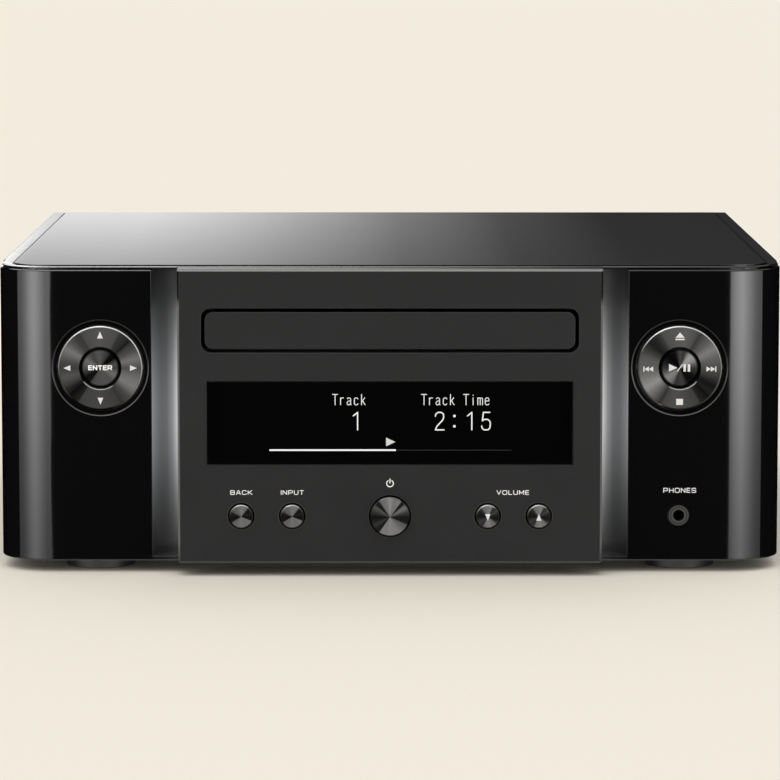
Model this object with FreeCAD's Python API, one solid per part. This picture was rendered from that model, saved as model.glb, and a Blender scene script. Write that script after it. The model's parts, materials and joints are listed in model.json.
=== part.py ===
import FreeCAD, Part
import math
import os

os.makedirs("parts", exist_ok=True)

# A compact disc receiver. Millimetres, +X right, +Z up, the front faces -Y.
# Places along Y are written as a depth behind the front face of the wings.

# Overall case; its width and height are worked out further down
BODY_DEPTH = 268.0           # wing face to the rear panel's outer face
SHEET = 1.2                  # steel sheet of chassis, cover and brackets
CHASSIS_Z = 6.0              # underside of the chassis
CHASSIS_SIDE = 22.0          # height of the chassis' side flanges
CHASSIS_FRONT = 4.5
SEAT_GAP = 0.1               # pieces that are laid into each other
PART_GAP = 0.3               # pieces that only stand side by side
OVER = 1.0                   # how far a cutter runs past what it cuts
OVERLAP = 0.5                # how far joined shapes reach into each other
SCREW_MARGIN = 15.0          # first and last screw of a row from its ends
SIDE_SCREW_LIFT = 10.0

# Wings
WING_WALL = 2.4
WING_LOW_Z = 4.3
WING_DROP = 1.6              # wings' top edge below the plate's
CORNER_R = 19.0
WING_WRAP = 30.0             # how far a wing reaches back along the side
COVE_R = 10.0                # hollow flank between wing and centre panel
WING_LIP = 1.6
EDGE_R = 0.5

# Top cover and its plate
RIM_DROP = 0.4
RIM_SET_BACK = 1.8
RIM_SIDE_GAP = 0.5
RIM_R = 0.6
RIM_LIP = 0.7                # thickness of the rim where it reaches over the wings
SKIRT_LIFT = 2.0
PLATE_THICK = 1.6
PLATE_SIDE = 5.5             # rim left free beside the plate
PLATE_GAP = 0.9              # shadow groove round the plate
PLATE_FRONT = 4.0            # depth of the plate's front edge
PLATE_R = 12.0
CEILING = 1.0                # sheet under the plate
VENT_COUNT = 12
VENT_START = 110.0
VENT_LOW_Z = 56.0
VENT_PITCH = 8.0
VENT_WIDTH = 3.0
VENT_HEIGHT = 24.0
REAR_VENT_X = 40.0
REAR_VENT_LOW_Z = 66.0
REAR_VENT_PITCH = 6.8

# Centre panel
PANEL_SIDE = 8.5             # panel beyond the tray slot
PANEL_LOW_Z = 4.1
PANEL_DROP = 0.5
PANEL_PROUD = 10.0
PANEL_THICK = 3.0
PANEL_FLANGE = 2.0
PANEL_CHAMFER = 0.7

# Tray slot and door
SLOT_SIDE = 3.9              # slot beyond the tray
SLOT_DROP = 13.9             # panel's top above the slot
SLOT_TALL = 15.9
SLOT_R = 3.5
DOOR_GAP = 1.4
DOOR_THICK = 3.0

# Display
WINDOW_SIDE = 10.25          # panel beyond the window
WINDOW_DROP = 10.2           # slot above the window
WINDOW_TALL = 30.1
WINDOW_FLANGE = 1.5
WINDOW_RIM = 1.0
GLASS_THICK = 2.2
GLASS_MARGIN = 4.0
GLASS_EDGE = 1.0
HOLDER_WALL = 3.0

# Panel buttons
BUTTON_LIFT = 17.8           # buttons above the panel's lower edge
WINDOW_LIFT = 18.5           # window above the buttons
SMALL_CAP_R = 4.22
SMALL_HOLE_R = 4.8
POWER_CAP_R = 7.06
POWER_HOLE_R = 7.58
SMALL_PROUD = 2.0
POWER_PROUD = 2.5
CONE_RISE = 0.5              # how far the middle of a cap stands before its rim
CAP_EDGE = 0.35
BUTTON_INNER_X = 35.0
BUTTON_OUTER_X = 53.25
PRESS = 0.6                  # travel of every button
STEM_R = 2.5
STEM_FIT = 0.06
FLANGE_OVER = 1.0
FLANGE_THICK = 1.0
HOLDER_THICK = 2.0
HOLDER_GAP = 1.1
HOLDER_SET_IN = 9.9
HOLDER_HALF_TALL = 9.5
HOLDER_LEG = 4.0
HOLDER_LEG_X = 17.0
GUIDE_LENGTH = 4.0
GUIDE_WALL = 1.6

# Switches and boards
SWITCH_SIDE = 6.0
SWITCH_BODY = 1.3
SWITCH_TALL = 2.0
PLUNGER_R = 1.6
PLUNGER_GAP = 0.1
BOARD = 1.6
BOARD_INSET = 4.0            # screws from a board's edges
BOSS_R = 3.0
SCREW_R = 1.4
PILOT_R = 1.1
HEAD_OVER = 1.5
SCREW_LONG = 6.0
FOOT_SCREW_OVER = 3.0
HEAD_TALL = 1.6
FRONT_BOARD_SET_IN = 10.9
FRONT_BOARD_LIFT = 2.8
FRONT_BOARD_DROP = 3.7
WING_BOARD_HALF = 20.0
WING_BOARD_LIFT = 3.8
WING_BOARD_DROP = 10.4

# Round keys on the wings
RING_INSIDE = 1.25           # wing's flat face beside the dish
RING_OUTSIDE = 1.05
RING_DROP = 35.2
DISH_R = 17.15
DISH_DEPTH = 1.0
RING_R = 15.1
RING_GAP = 0.4
RING_PROUD = 0.8
RING_THICK = 3.0
RING_CHAMFER = 0.6
RING_BORE_R = 7.65
CENTRE_CAP_R = 6.525
CENTRE_PROUD = 1.2
HUB_R = 12.4
HUB_BORE_R = 8.6
GIMBAL_CLEAR = 0.6           # between the ring's hub and the gimbal
GIMBAL_WIDE = 2.0
GIMBAL_THICK = 2.7
GIMBAL_GAP = 0.9
PIVOT_R = 0.9
PIVOT_FIT = 0.05
EAR_GAP = 0.5
EAR_THICK = 2.2
EAR_HALF = 2.4
TILT_DEG = 2.0
KEY_POST_R = 1.2
KEY_POST_AT = 10.5           # distance of the four contacts from the ring's centre
KEY_POST_FIT = 1.0
HUB_GAP = 2.0
COLLAR_OVER = 0.9
COLLAR_THICK = 0.8

# Headphone jack
JACK_Z = 20.8
JACK_BORE_R = 1.8
JACK_RING_R = 3.7
JACK_PROUD = 0.6
JACK_BODY = 12.0
JACK_END = 1.5

# Front frame and light guides
FRAME_WALL = 2.5
FRAME_RIB = 2.5
FRAME_SET_IN = 7.0
FRAME_WINDOW_SET_IN = 15.65
SHELF_ABOVE = 4.0            # frame's upper shelf above the tray slot
SHELF_THICK = 2.0
PEG_X = 12.0
PEG_ABOVE = 27.8
PEG_BELOW = 34.2
GUIDE_THICK = 2.4
GUIDE_SET_IN = 1.5

# Disc tray, its disc and its rack
DISC_DEPTH = 60.0            # spindle behind the wing face
DISC_R = 60.0                # the 120 mm disc
WELL_GAP = 1.0
WELL_DEEP = 5.0
TRAY_SIDE = 2.5
TRAY_THICK = 6.5
TRAY_LENGTH = 172.0
TRAY_SLOT_HALF = 22.0
TRAY_RIB = 3.0
TRAY_RUN = 0.3
RACK_SET_IN = 11.5
RACK_WIDTH = 4.5
RACK_TALL = 3.4
RACK_GAP = 0.4
RACK_START = 20.0

# Gears
MODULE = 1.0
TRAY_GEAR_TEETH = 20
PINION_TEETH = 12
BACKLASH = 0.2
ADDENDUM = 0.8
DEDENDUM = 1.15
PRESSURE_DEG = 20.0
GEAR_DEPTH = 28.0
GEAR_POST_R = 2.5
GEAR_HUB = 2.0
SHAFT_FIT = 0.05
DRIVE_PULLEY_R = 10.0
MOTOR_PULLEY_R = 3.5
PULLEY_TALL = 4.5
PULLEY_LIP = 1.0
BELT = 1.2
BELT_GAP = 0.3
MOTOR_SET_IN = 15.5
MOTOR_R = 11.5
MOTOR_TALL = 20.0
MOTOR_SHAFT_R = 1.0
MOTOR_HOLE_OVER = 1.5
PULLEY_LIFT = 1.5

# Loader frame
LOADER_DEPTH = 15.2
LOADER_WALL = 2.5
LOADER_BELOW = 22.5          # side walls below and above the tray
LOADER_ABOVE = 7.0
DECK_BELOW = 18.5
DECK_THICK = 2.0
DECK_END = 39.0
LEDGE = 3.4
LEDGE_THICK = 1.5
TAB = 2.4
TAB_THICK = 1.7
TAB_LONG = 9.0
REAR_TAB = 120.0
CROSS_GAP = 8.0
CROSS_DEEP = 12.0
CROSS_THICK = 4.0
FOOT_FLANGE = 7.6
FOOT_THICK = 2.0
FOOT_START = 30.0
BRACKET_IN = 4.0             # brackets' ends inside the loader's foot
BRACKET_FOOT = 9.0
BRACKET_FRAME = 18.0

# Clamp bridge and clamper
BRIDGE_THICK = 2.0
BRIDGE_HALF_DEPTH = 18.0
BRIDGE_RIB = 3.0
CLAMP_HOLE_R = 12.0
CLAMP_NECK_R = 10.0
CLAMP_DISC_R = 15.0
CLAMP_LIFT = 0.6
CLAMP_DISC = 2.9
CLAMP_FLANGE = 1.5
CLAMP_OVER = 3.5

# Traverse
TRAVERSE_SET_IN = 19.5
TRAVERSE_START = 45.0
TRAVERSE_BELOW = 21.0        # frame below the disc's seat
TRAVERSE_THICK = 2.5
TRAVERSE_EDGE = 7.0          # window beyond the outer rods
HINGE_BACK = 2.0             # hinge behind the frame's end
HINGE_LIFT = 4.0
HINGE_BLOCK = 3.5
HINGE_R = 2.0
HINGE_FIT = 0.05
HINGE_SIDE_GAP = 3.5
EAR_WIDE = 4.0
EAR_ROUND = 4.5
TILT_DROP_DEG = 4.5
LIFT_PIN_R = 1.5
LIFT_PIN_LIFT = 2.0
LIFT_LUG = 6.0
LIFT_LUG_THICK = 3.0
CAM_TRAVEL = 24.0
CAM_THICK = 2.0
CAM_GAP = 0.4
CAM_BELOW = 14.0             # cam plate below and above the pin
CAM_ABOVE = 5.0
CAM_MARGIN = 8.0
CAM_GUIDE = 3.0
CAM_LIP = 1.2
CAM_LIP_TALL = 1.8
TURNTABLE_R = 14.0
PLATTER = 3.0
HUB_CONE_R = 7.3
HUB_CONE_TALL = 2.0
HUB_CONE_SLOPE = 2.5
TURN_HUB_R = 6.0
SPINDLE_R = 1.0
SPINDLE_FIT = 0.04
SPINDLE_MOTOR_R = 12.0
SPINDLE_MOTOR_TALL = 11.0
ROD_R = 1.5
ROD_FIT = 0.05
ROD_X = 20.0
ROD_LIFT = 7.5
ROD_POST = 3.0
ROD_POST_HALF = 3.5
ROD_POST_ABOVE = 3.0
SCREW_X = -32.0
LEAD_R = 1.6
LEAD_END = 3.5               # screw's end inside its motor
SLED_MOTOR_R = 5.0
SLED_MOTOR_LONG = 13.0
LENS_RADIUS = 23.0           # lens to spindle with the sled home
SLED_TRAVEL = 36.0
SLED_CLEAR = 4.0             # rods beyond the sled's last place
SLED_HALF_DEPTH = 11.0
SLED_TALL = 6.0
SLED_EDGE = 4.5              # sled beyond its rod and screw
LENS_R = 4.0
LENS_DROP = 1.8
LENS_TALL = 3.0
HEAD_HALF = 9.0

# Boards inside
BOARD_LIFT = 6.8
MAIN_SET_IN = 5.5            # main board's edge inside the tray's
MAIN_START = 46.0
MAIN_REAR_GAP = 18.0
SIDE_BOARD_WIDE = 44.0
SIDE_BOARD_SET_IN = 8.0
SIDE_BOARD_START = 40.0
SIDE_REAR_GAP = 40.0
SEAT_IN_MAIN = 8.0           # standoffs from the boards' edges
SEAT_IN_SIDE = 5.0
FIN_COUNT = 9
FIN_THICK = 1.8
SINK_TALL = 62.0
SINK_BASE = 5.0
SINK_HALF = 16.0
SINK_LONG = 94.0
SINK_LIFT = 4.0
SINK_SHARE = 0.548           # place of its middle along the board
CHIP_THICK = 4.0
POWER_CHIP_WIDE = 16.0
POWER_CHIP_TALL = 20.0
POWER_CHIP_PITCH = 26.0
CHIP_SIDE = 22.0
SMALL_CHIP_SIDE = 14.0
CHIP_TALL = 1.5
PLUG_HALF = 30.0
PLUG_DEEP = 5.0
PLUG_TALL = 6.0
PART_PITCH = 12.0
SMALL_CAN_R = 4.0
SMALL_CAN_TALL = 12.0
COIL_SIDE = 9.0
COIL_TALL = 8.0
CORE_HALF = 16.0
CORE_LONG = 40.0
CORE_TALL = 30.0
CORE_LEG = 7.0
BOBBIN_OVER = 6.0
BIG_CAN_R = 9.0
BIG_CAN_TALL = 35.0
BIG_CAN_X = 11.0
FUSE_HALF = 11.0
FUSE_DEEP = 8.0
FUSE_TALL = 9.0
FILTER_HALF = 16.0
FILTER_DEEP = 20.0
FILTER_TALL = 16.0
AMP_CAN_R = 6.0
AMP_CAN_TALL = 18.0
AMP_CAN_X = 9.0
OUTPUT_HALF = 12.0
OUTPUT_SIDE = 10.0

# Feet
FOOT_R = 12.95
FOOT_TAPER = 0.4
FOOT_FROM_SIDE = 35.5
FOOT_FRONT = 21.5
FOOT_REAR_GAP = 22.0
FOOT_LOW_Z = 0.2
PAD_R = 9.0
PAD_THICK = 1.4
PAD_GAP = 0.2                # screw head above its pad

# Rear connections
REAR_SHEET = 1.5
POST_COUNT = 4
POST_PITCH = 19.0
POST_FROM_SIDE = 23.0
POST_COLLAR = 2.0
POST_MARGIN = 10.5
POST_SHORT = 0.5             # stud's end inside the cap's
POST_INSIDE = 12.0
NUT_OVER = 2.6
NUT_THICK = 3.0
POST_Z = 34.0
POST_REACH = 22.5            # speaker caps behind the rear panel
POST_STUD_R = 2.6
POST_BORE_R = 2.0
POST_BORE_DEEP = 12.0
CAP_R = 6.5
CAP_BORE_FIT = 0.08
FLUTES = 12
FLUTE_R = 0.9
FLUTE_OUT = 0.4
FLUTE_START = 2.0
TERMINAL_THICK = 4.0
RCA_X = [-4.0, 14.0, 32.0]
RCA_Z = [34.0, 52.0]
RCA_R = 4.15
RCA_BORE_R = 1.6
RCA_REACH = 9.0
SOCKET_BOSS_OVER = 1.2       # boss round a socket, wider than its barrel
SOCKET_BOSS_PROUD = 0.8
SOCKET_BORE_PAST = 2.5       # bore's bottom inside the rear panel
SOCKET_HALF = 8.8            # half the side of a socket's block
SOCKET_DEEP = 10.0
REAR_HOLE_GAP = 0.5
REAR_SCREW_X = 40.0
REAR_SCREW_LIFT = 6.0
REAR_SCREW_IN = 12.0
ANTENNA_X = -40.0
ANTENNA_Z = 74.0
ANTENNA_R = 4.75
ANTENNA_BORE_R = 1.2
ANTENNA_REACH = 9.0
TUNER_HALF = 20.0
TUNER_DEEP = 14.0
TUNER_BELOW = 24.0
TUNER_ABOVE = 12.0
INLET_FROM_SIDE = 32.0
INLET_Z = 30.0
INLET_HALF_W = 9.8
INLET_HALF_H = 6.0
INLET_WALL = 2.2
INLET_DEEP = 14.0
INLET_FLANGE = 3.0
INLET_FLANGE_THICK = 1.5
INLET_BACK = 4.0
INLET_R = 2.0
INLET_PIN_SHORT = 4.0
INLET_PIN_R = 1.2
INLET_PIN_X = 4.3

# Worked out from the sizes above
WELL_R = DISC_R + WELL_GAP
TRAY_HALF = WELL_R + TRAY_SIDE
SLOT_HALF = TRAY_HALF + SLOT_SIDE
PANEL_HALF = SLOT_HALF + PANEL_SIDE
WINDOW_HALF = PANEL_HALF - WINDOW_SIDE
COVE_X = PANEL_HALF - PART_GAP
RING_X = COVE_X + COVE_R + RING_INSIDE + DISH_R
HALF = RING_X + DISH_R + RING_OUTSIDE + CORNER_R
WIDTH = 2 * HALF
BUTTON_Z = PANEL_LOW_Z + BUTTON_LIFT
WINDOW_LOW_Z = BUTTON_Z + WINDOW_LIFT
WINDOW_HIGH_Z = WINDOW_LOW_Z + WINDOW_TALL
SLOT_LOW_Z = WINDOW_HIGH_Z + WINDOW_DROP
SLOT_HIGH_Z = SLOT_LOW_Z + SLOT_TALL
PANEL_TOP_Z = SLOT_HIGH_Z + SLOT_DROP
TOP_Z = PANEL_TOP_Z + PANEL_DROP
SCREW_HOLE_R = SCREW_R + SEAT_GAP
FRONT_REACH = PANEL_PROUD + POWER_PROUD
WING_Y = -(FRONT_REACH + BODY_DEPTH + POST_REACH) / 2 + FRONT_REACH
FLOOR_Z = CHASSIS_Z + SHEET
WING_TOP_Z = TOP_Z - WING_DROP
RIM_TOP_Z = TOP_Z - RIM_DROP
RING_Z = WING_TOP_Z - RING_DROP
PLATE_LOW_Z = TOP_Z - PLATE_THICK
CEILING_Z = PLATE_LOW_Z - CEILING
PANEL_FACE = -PANEL_PROUD
PANEL_BACK = PANEL_FACE + PANEL_THICK
FRAME_HALF = HALF - FRAME_SET_IN
FRAME_FACE = COVE_R + WING_WALL
FRAME_BACK = FRAME_FACE + FRAME_WALL
RIB_OUT = PANEL_HALF - GUIDE_SET_IN - GUIDE_THICK
RIB_IN = RIB_OUT - FRAME_RIB
BUTTON_FLANGE = PANEL_BACK + PART_GAP
FLANGE_BACK = BUTTON_FLANGE + FLANGE_THICK
HOLDER_FACE = FLANGE_BACK + HOLDER_GAP
HOLDER_BACK = HOLDER_FACE + HOLDER_THICK
STEM_END = HOLDER_BACK + GUIDE_LENGTH + PLUNGER_GAP
FRONT_BOARD = STEM_END + PRESS + PLUNGER_GAP + SWITCH_TALL
FRONT_BOARD_BACK = FRONT_BOARD + BOARD
BUTTON_X = {"back": -BUTTON_OUTER_X, "input": -BUTTON_INNER_X, "volume_down": BUTTON_INNER_X,
            "volume_up": BUTTON_OUTER_X}
JACK_X = RING_X
HOLDER_HALF = PANEL_HALF - HOLDER_SET_IN
FRONT_BOARD_HALF = PANEL_HALF - FRONT_BOARD_SET_IN
GIMBAL_INNER_R = HUB_R + GIMBAL_CLEAR
GIMBAL_OUTER_R = GIMBAL_INNER_R + GIMBAL_WIDE
PIVOT_DEPTH = WING_WALL + GIMBAL_GAP + GIMBAL_THICK / 2
RING_BACK = PIVOT_DEPTH + GIMBAL_THICK / 2
RING_FACE = -RING_PROUD
TILT = math.radians(TILT_DEG)
WING_SWITCH = FRAME_BACK + SWITCH_TALL
WING_BOARD = WING_SWITCH + SWITCH_TALL
TRAY_LOW_Z = SLOT_LOW_Z + RACK_GAP + RACK_TALL
TRAY_HIGH_Z = TRAY_LOW_Z + TRAY_THICK
SEAT_Z = TRAY_HIGH_Z
RACK_X = RACK_SET_IN - TRAY_HALF
MOTOR_X = TRAY_HALF - MOTOR_SET_IN
TRAVERSE_HALF = TRAY_HALF - TRAVERSE_SET_IN
GEAR_X = RACK_X + MODULE * TRAY_GEAR_TEETH / 2
DRIVE_X = GEAR_X + MODULE * (TRAY_GEAR_TEETH + PINION_TEETH) / 2
TRAY_START = PANEL_FACE + DOOR_THICK
TRAY_END = TRAY_START + TRAY_LENGTH
LOADER_LOW_Z = TRAY_LOW_Z - LOADER_BELOW
LOADER_HIGH_Z = TRAY_HIGH_Z + LOADER_ABOVE
DECK_LOW_Z = TRAY_LOW_Z - DECK_BELOW
DECK_Z = DECK_LOW_Z + DECK_THICK
GEAR_LOW_Z = TRAY_LOW_Z - RACK_TALL
GEAR_HIGH_Z = TRAY_LOW_Z - PART_GAP
RAIL_IN = TRAY_HALF + TRAY_RUN + SEAT_GAP
RAIL_OUT = RAIL_IN + LOADER_WALL
FOOT_OUT = RAIL_OUT + FOOT_FLANGE
BRACKET_OUT = FOOT_OUT + BRACKET_FOOT
PULLEY_Z = DECK_Z + PULLEY_LIFT
CLAMP_FACE_Z = SEAT_Z + CLAMP_LIFT
CAM_FACE = DECK_END + CAM_GAP
CAM_BACK = CAM_FACE + CAM_THICK
TRAVERSE_LOW_Z = SEAT_Z - TRAVERSE_BELOW
TRAVERSE_Z = TRAVERSE_LOW_Z + TRAVERSE_THICK
HINGE_Z = TRAVERSE_LOW_Z + HINGE_LIFT
ROD_Z = TRAVERSE_LOW_Z + ROD_LIFT
LIFT_PIN_Z = TRAVERSE_LOW_Z + LIFT_PIN_LIFT
CAM_LOW_Z = LIFT_PIN_Z - CAM_BELOW
CAM_HIGH_Z = LIFT_PIN_Z + CAM_ABOVE
LENS_TOP_Z = SEAT_Z - LENS_DROP
LENS_DEPTH = DISC_DEPTH + LENS_RADIUS
ROD_START = LENS_DEPTH - SLED_HALF_DEPTH - PART_GAP - ROD_POST
ROD_END = LENS_DEPTH + SLED_HALF_DEPTH + SLED_TRAVEL + SLED_CLEAR + ROD_POST
TRAVERSE_END = ROD_END + SLED_MOTOR_LONG
HINGE_DEPTH = TRAVERSE_END + HINGE_BACK
CROSS_START = HINGE_DEPTH + CROSS_GAP
LOADER_END = CROSS_START + CROSS_DEEP
FOOT_END = CROSS_START
REAR_IN = BODY_DEPTH - REAR_SHEET
BOARD_Z = FLOOR_Z + BOARD_LIFT
BOARD_TOP = BOARD_Z + BOARD
MAIN_HALF = TRAY_HALF - MAIN_SET_IN
MAIN_END = BODY_DEPTH - MAIN_REAR_GAP
SIDE_BOARD_OUT = HALF - SIDE_BOARD_SET_IN
SIDE_BOARD_IN = SIDE_BOARD_OUT - SIDE_BOARD_WIDE
SIDE_BOARD_X = (SIDE_BOARD_IN + SIDE_BOARD_OUT) / 2
SIDE_BOARD_END = BODY_DEPTH - SIDE_REAR_GAP
FOOT_X = HALF - FOOT_FROM_SIDE
FOOT_REAR = BODY_DEPTH - FOOT_REAR_GAP
POST_X = [HALF - POST_FROM_SIDE - POST_PITCH * i for i in reversed(range(POST_COUNT))]
INLET_X = INLET_FROM_SIDE - HALF
FOOT_HEAD_TOP = PAD_THICK + PAD_GAP + HEAD_TALL


def vec(x, depth, z):
    return FreeCAD.Vector(x, WING_Y + depth, z)


def block(x, depth, z):
    """A box between the low and high values of each pair."""
    size = (x[1] - x[0], depth[1] - depth[0], z[1] - z[0])
    return Part.makeBox(*size, vec(x[0], depth[0], z[0]))


def post(x, depth, radius, z):
    """An upright cylinder."""
    return Part.makeCylinder(radius, z[1] - z[0], vec(x, depth, z[0]))


def pin(x, z, radius, depth):
    """A cylinder that runs front to back."""
    axis = FreeCAD.Vector(0, 1, 0)
    return Part.makeCylinder(radius, depth[1] - depth[0], vec(x, depth[0], z), axis)


def axle(depth, z, radius, x):
    """A cylinder that runs from left to right."""
    axis = FreeCAD.Vector(1, 0, 0)
    return Part.makeCylinder(radius, x[1] - x[0], vec(x[0], depth, z), axis)


def taper(x, z, radii, depth):
    """A front to back cone between two radii."""
    axis = FreeCAD.Vector(0, 1, 0)
    return Part.makeCone(*radii, depth[1] - depth[0], vec(x, depth[0], z), axis)


def tube(x, z, radii, depth):
    return pin(x, z, radii[1], depth).cut(pin(x, z, radii[0], depth))


def spread(x, depth, z):
    """A box on both sides of the middle, given by its half widths."""
    return block((-x, x), depth, z)


def mirrored(shape):
    return shape.mirror(FreeCAD.Vector(0, 0, 0), FreeCAD.Vector(1, 0, 0))


def both_sides(shape):
    return [shape, mirrored(shape)]


def fuse(shapes):
    return shapes[0].multiFuse(shapes[1:]).removeSplitter()


def rounded(shape, radius, along):
    """The box with its four edges along one direction rounded."""
    edges = [e for e in shape.Edges if abs(e.tangentAt(e.FirstParameter).dot(along)) > 0.99]
    return shape.makeFillet(radius, edges)


def round_slab(x, depth, z, radius):
    """A front to back slab with rounded corners."""
    return rounded(block(x, depth, z), radius, FreeCAD.Vector(0, 1, 0))


def outline(points, arcs, z):
    """A prism over straight runs between points; arcs maps a run's index to a point on its arc."""
    edges = []
    for i, start in enumerate(points):
        a = vec(*start, z[0])
        b = vec(*points[(i + 1) % len(points)], z[0])
        if i in arcs:
            edges.append(Part.Arc(a, vec(*arcs[i], z[0]), b).toShape())
        else:
            edges.append(Part.LineSegment(a, b).toShape())
    face = Part.Face(Part.Wire(edges))
    return face.extrude(FreeCAD.Vector(0, 0, z[1] - z[0]))


def on_arc(centre, radius, degrees):
    angle = math.radians(degrees)
    return (centre[0] + radius * math.cos(angle), centre[1] + radius * math.sin(angle))


def save(name, shapes):
    """Write one node; a list is kept as separate solids."""
    shape = Part.makeCompound(shapes) if isinstance(shapes, list) else shapes
    shape.exportStep("parts/" + name + ".step")


# Case


def side_screw_places():
    """Depth and height of the screws that hold the cover on each side."""
    first = WING_WRAP + SCREW_MARGIN
    last = BODY_DEPTH - SCREW_MARGIN
    return [(depth, CHASSIS_Z + SIDE_SCREW_LIFT) for depth in (first, (first + last) / 2, last)]


def foot_places():
    return [(x, depth) for x in (-FOOT_X, FOOT_X) for depth in (FOOT_FRONT, FOOT_REAR)]


def vent_depths():
    """Where the slots of the sides and the floor start."""
    return [VENT_START + i * VENT_PITCH for i in range(VENT_COUNT)]


def bottom_chassis():
    inner = HALF - SHEET - PART_GAP
    step = WING_WRAP + SHEET + 2 * PART_GAP
    narrow = HALF - WING_WALL - SHEET - 2 * PART_GAP
    floor = spread(inner, (step, REAR_IN), (CHASSIS_Z, FLOOR_Z))
    nose = spread(narrow, (FRAME_BACK, step + OVER), (CHASSIS_Z, FLOOR_Z))
    flange = block((inner - SHEET, inner), (step, REAR_IN), (CHASSIS_Z, CHASSIS_Z + CHASSIS_SIDE))
    front = spread(FRAME_HALF, (FRAME_BACK, FRAME_BACK + SHEET), (CHASSIS_Z, CHASSIS_Z + CHASSIS_FRONT))
    shape = fuse([floor, nose, front] + both_sides(flange) + standoffs())
    cut_z = (CHASSIS_Z - OVER, FLOOR_Z + OVER)
    holes = [post(x, depth, SCREW_HOLE_R, cut_z) for x, depth in foot_places()]
    for depth, z in side_screw_places():
        holes.append(axle(depth, z, SCREW_HOLE_R, (-HALF, HALF)))
    vent_x = (BRACKET_OUT + OVER, BRACKET_OUT + OVER + VENT_HEIGHT)
    for depth in vent_depths():
        holes += both_sides(block(vent_x, (depth, depth + VENT_WIDTH), cut_z))
    return shape.cut(Part.makeCompound(holes))


def cover_outline(side, front, radius, z):
    """A prism over the case's plan, square at the back and round at both front corners."""
    start = front + radius
    left = (-side + radius, start)
    right = (side - radius, start)
    points = [(-side, start), (-side + radius, front), (side - radius, front), (side, start),
              (side, BODY_DEPTH), (-side, BODY_DEPTH)]
    arcs = {0: on_arc(left, radius, 225), 2: on_arc(right, radius, 315)}
    return outline(points, arcs, z)


def wing_clearance():
    """The space that the wings' skins take below the rim, with a gap round them."""
    z = (0, RIM_TOP_Z - RIM_LIP)
    inset = WING_WALL + PART_GAP
    band = cover_outline(HALF + OVER, -OVER, CORNER_R + OVER, z)
    band = band.cut(cover_outline(HALF - inset, inset, CORNER_R - inset, z))
    band = band.common(spread(WIDTH, (-WING_WRAP, WING_WRAP + PART_GAP), z))
    cove = block((COVE_X - inset, COVE_X + COVE_R + inset), (0, FRAME_BACK), z)
    return [band] + both_sides(cove)


def top_cover():
    slab = cover_outline(HALF - RIM_SIDE_GAP, RIM_SET_BACK, CORNER_R - RIM_SIDE_GAP, (CEILING_Z, RIM_TOP_Z))
    rear = spread(HALF, (WING_WRAP + PART_GAP, BODY_DEPTH), (CHASSIS_Z, RIM_TOP_Z))
    skirt = HALF - WING_WALL - PART_GAP
    front = spread(skirt, (CORNER_R + RIM_SET_BACK, WING_WRAP + OVER), (CHASSIS_Z + SKIRT_LIFT, RIM_TOP_Z))
    shape = fuse([slab, rear, front])
    top = [e for e in shape.Edges if e.BoundBox.ZMin > RIM_TOP_Z - 0.01]
    shape = shape.makeFillet(RIM_R, top)
    inside = spread(HALF - SHEET, (WING_WRAP + PART_GAP + SHEET, BODY_DEPTH + OVER), (0, CEILING_Z))
    front_inside = spread(skirt - SHEET, (0, BODY_DEPTH), (0, CEILING_Z))
    recess = plate_prism(PLATE_GAP, (PLATE_LOW_Z, TOP_Z))
    panel_clear = spread(PANEL_HALF + PART_GAP, (0, PANEL_FLANGE + SEAT_GAP), (0, TOP_Z))
    cuts = [inside, front_inside, recess, panel_clear] + wing_clearance() + side_vents()
    for depth, z in side_screw_places():
        cuts.append(axle(depth, z, SCREW_HOLE_R, (-HALF - OVER, HALF + OVER)))
    for cutter in cuts:
        shape = shape.cut(cutter)
    return shape


def side_vents():
    """Upright slots through both side walls."""
    z = (VENT_LOW_Z, VENT_LOW_Z + VENT_HEIGHT)
    return [spread(HALF + OVER, (depth, depth + VENT_WIDTH), z) for depth in vent_depths()]


def plate_prism(margin, z):
    """The top plate's plan, or its recess with a margin."""
    side = HALF - PLATE_SIDE + margin
    prism = cover_outline(side, PLATE_FRONT - margin, PLATE_R + margin, z)
    rear = spread(WIDTH, (BODY_DEPTH - PLATE_SIDE + margin, BODY_DEPTH + OVER), (0, TOP_Z + OVER))
    return prism.cut(rear)


def rear_panel():
    inner = HALF - SHEET - PART_GAP
    panel = spread(inner, (REAR_IN, BODY_DEPTH), (CHASSIS_Z, CEILING_Z))
    cut_depth = (REAR_IN - OVER, BODY_DEPTH + OVER)
    holes = []
    for x in POST_X:
        holes.append(pin(x, POST_Z, POST_STUD_R + POST_COLLAR, cut_depth))
    hole_over = SOCKET_BOSS_OVER + REAR_HOLE_GAP
    for x in RCA_X:
        for z in RCA_Z:
            holes.append(pin(x, z, RCA_R + hole_over, cut_depth))
    holes.append(pin(ANTENNA_X, ANTENNA_Z, ANTENNA_R + hole_over, cut_depth))
    wide = INLET_HALF_W + INLET_WALL + SEAT_GAP
    tall = INLET_HALF_H + INLET_WALL + SEAT_GAP
    holes.append(block((INLET_X - wide, INLET_X + wide), cut_depth, (INLET_Z - tall, INLET_Z + tall)))
    for i in range(VENT_COUNT):
        x = REAR_VENT_X + i * REAR_VENT_PITCH
        z = (REAR_VENT_LOW_Z, REAR_VENT_LOW_Z + VENT_HEIGHT)
        holes.append(block((x, x + VENT_WIDTH), cut_depth, z))
    for x, z in rear_screw_places():
        holes.append(pin(x, z, SCREW_HOLE_R, cut_depth))
    return panel.cut(Part.makeCompound(holes))


def rear_screw_places():
    side = HALF - REAR_SCREW_IN
    return [(x, CHASSIS_Z + REAR_SCREW_LIFT) for x in (-side, -REAR_SCREW_X, REAR_SCREW_X, side)]


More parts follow.
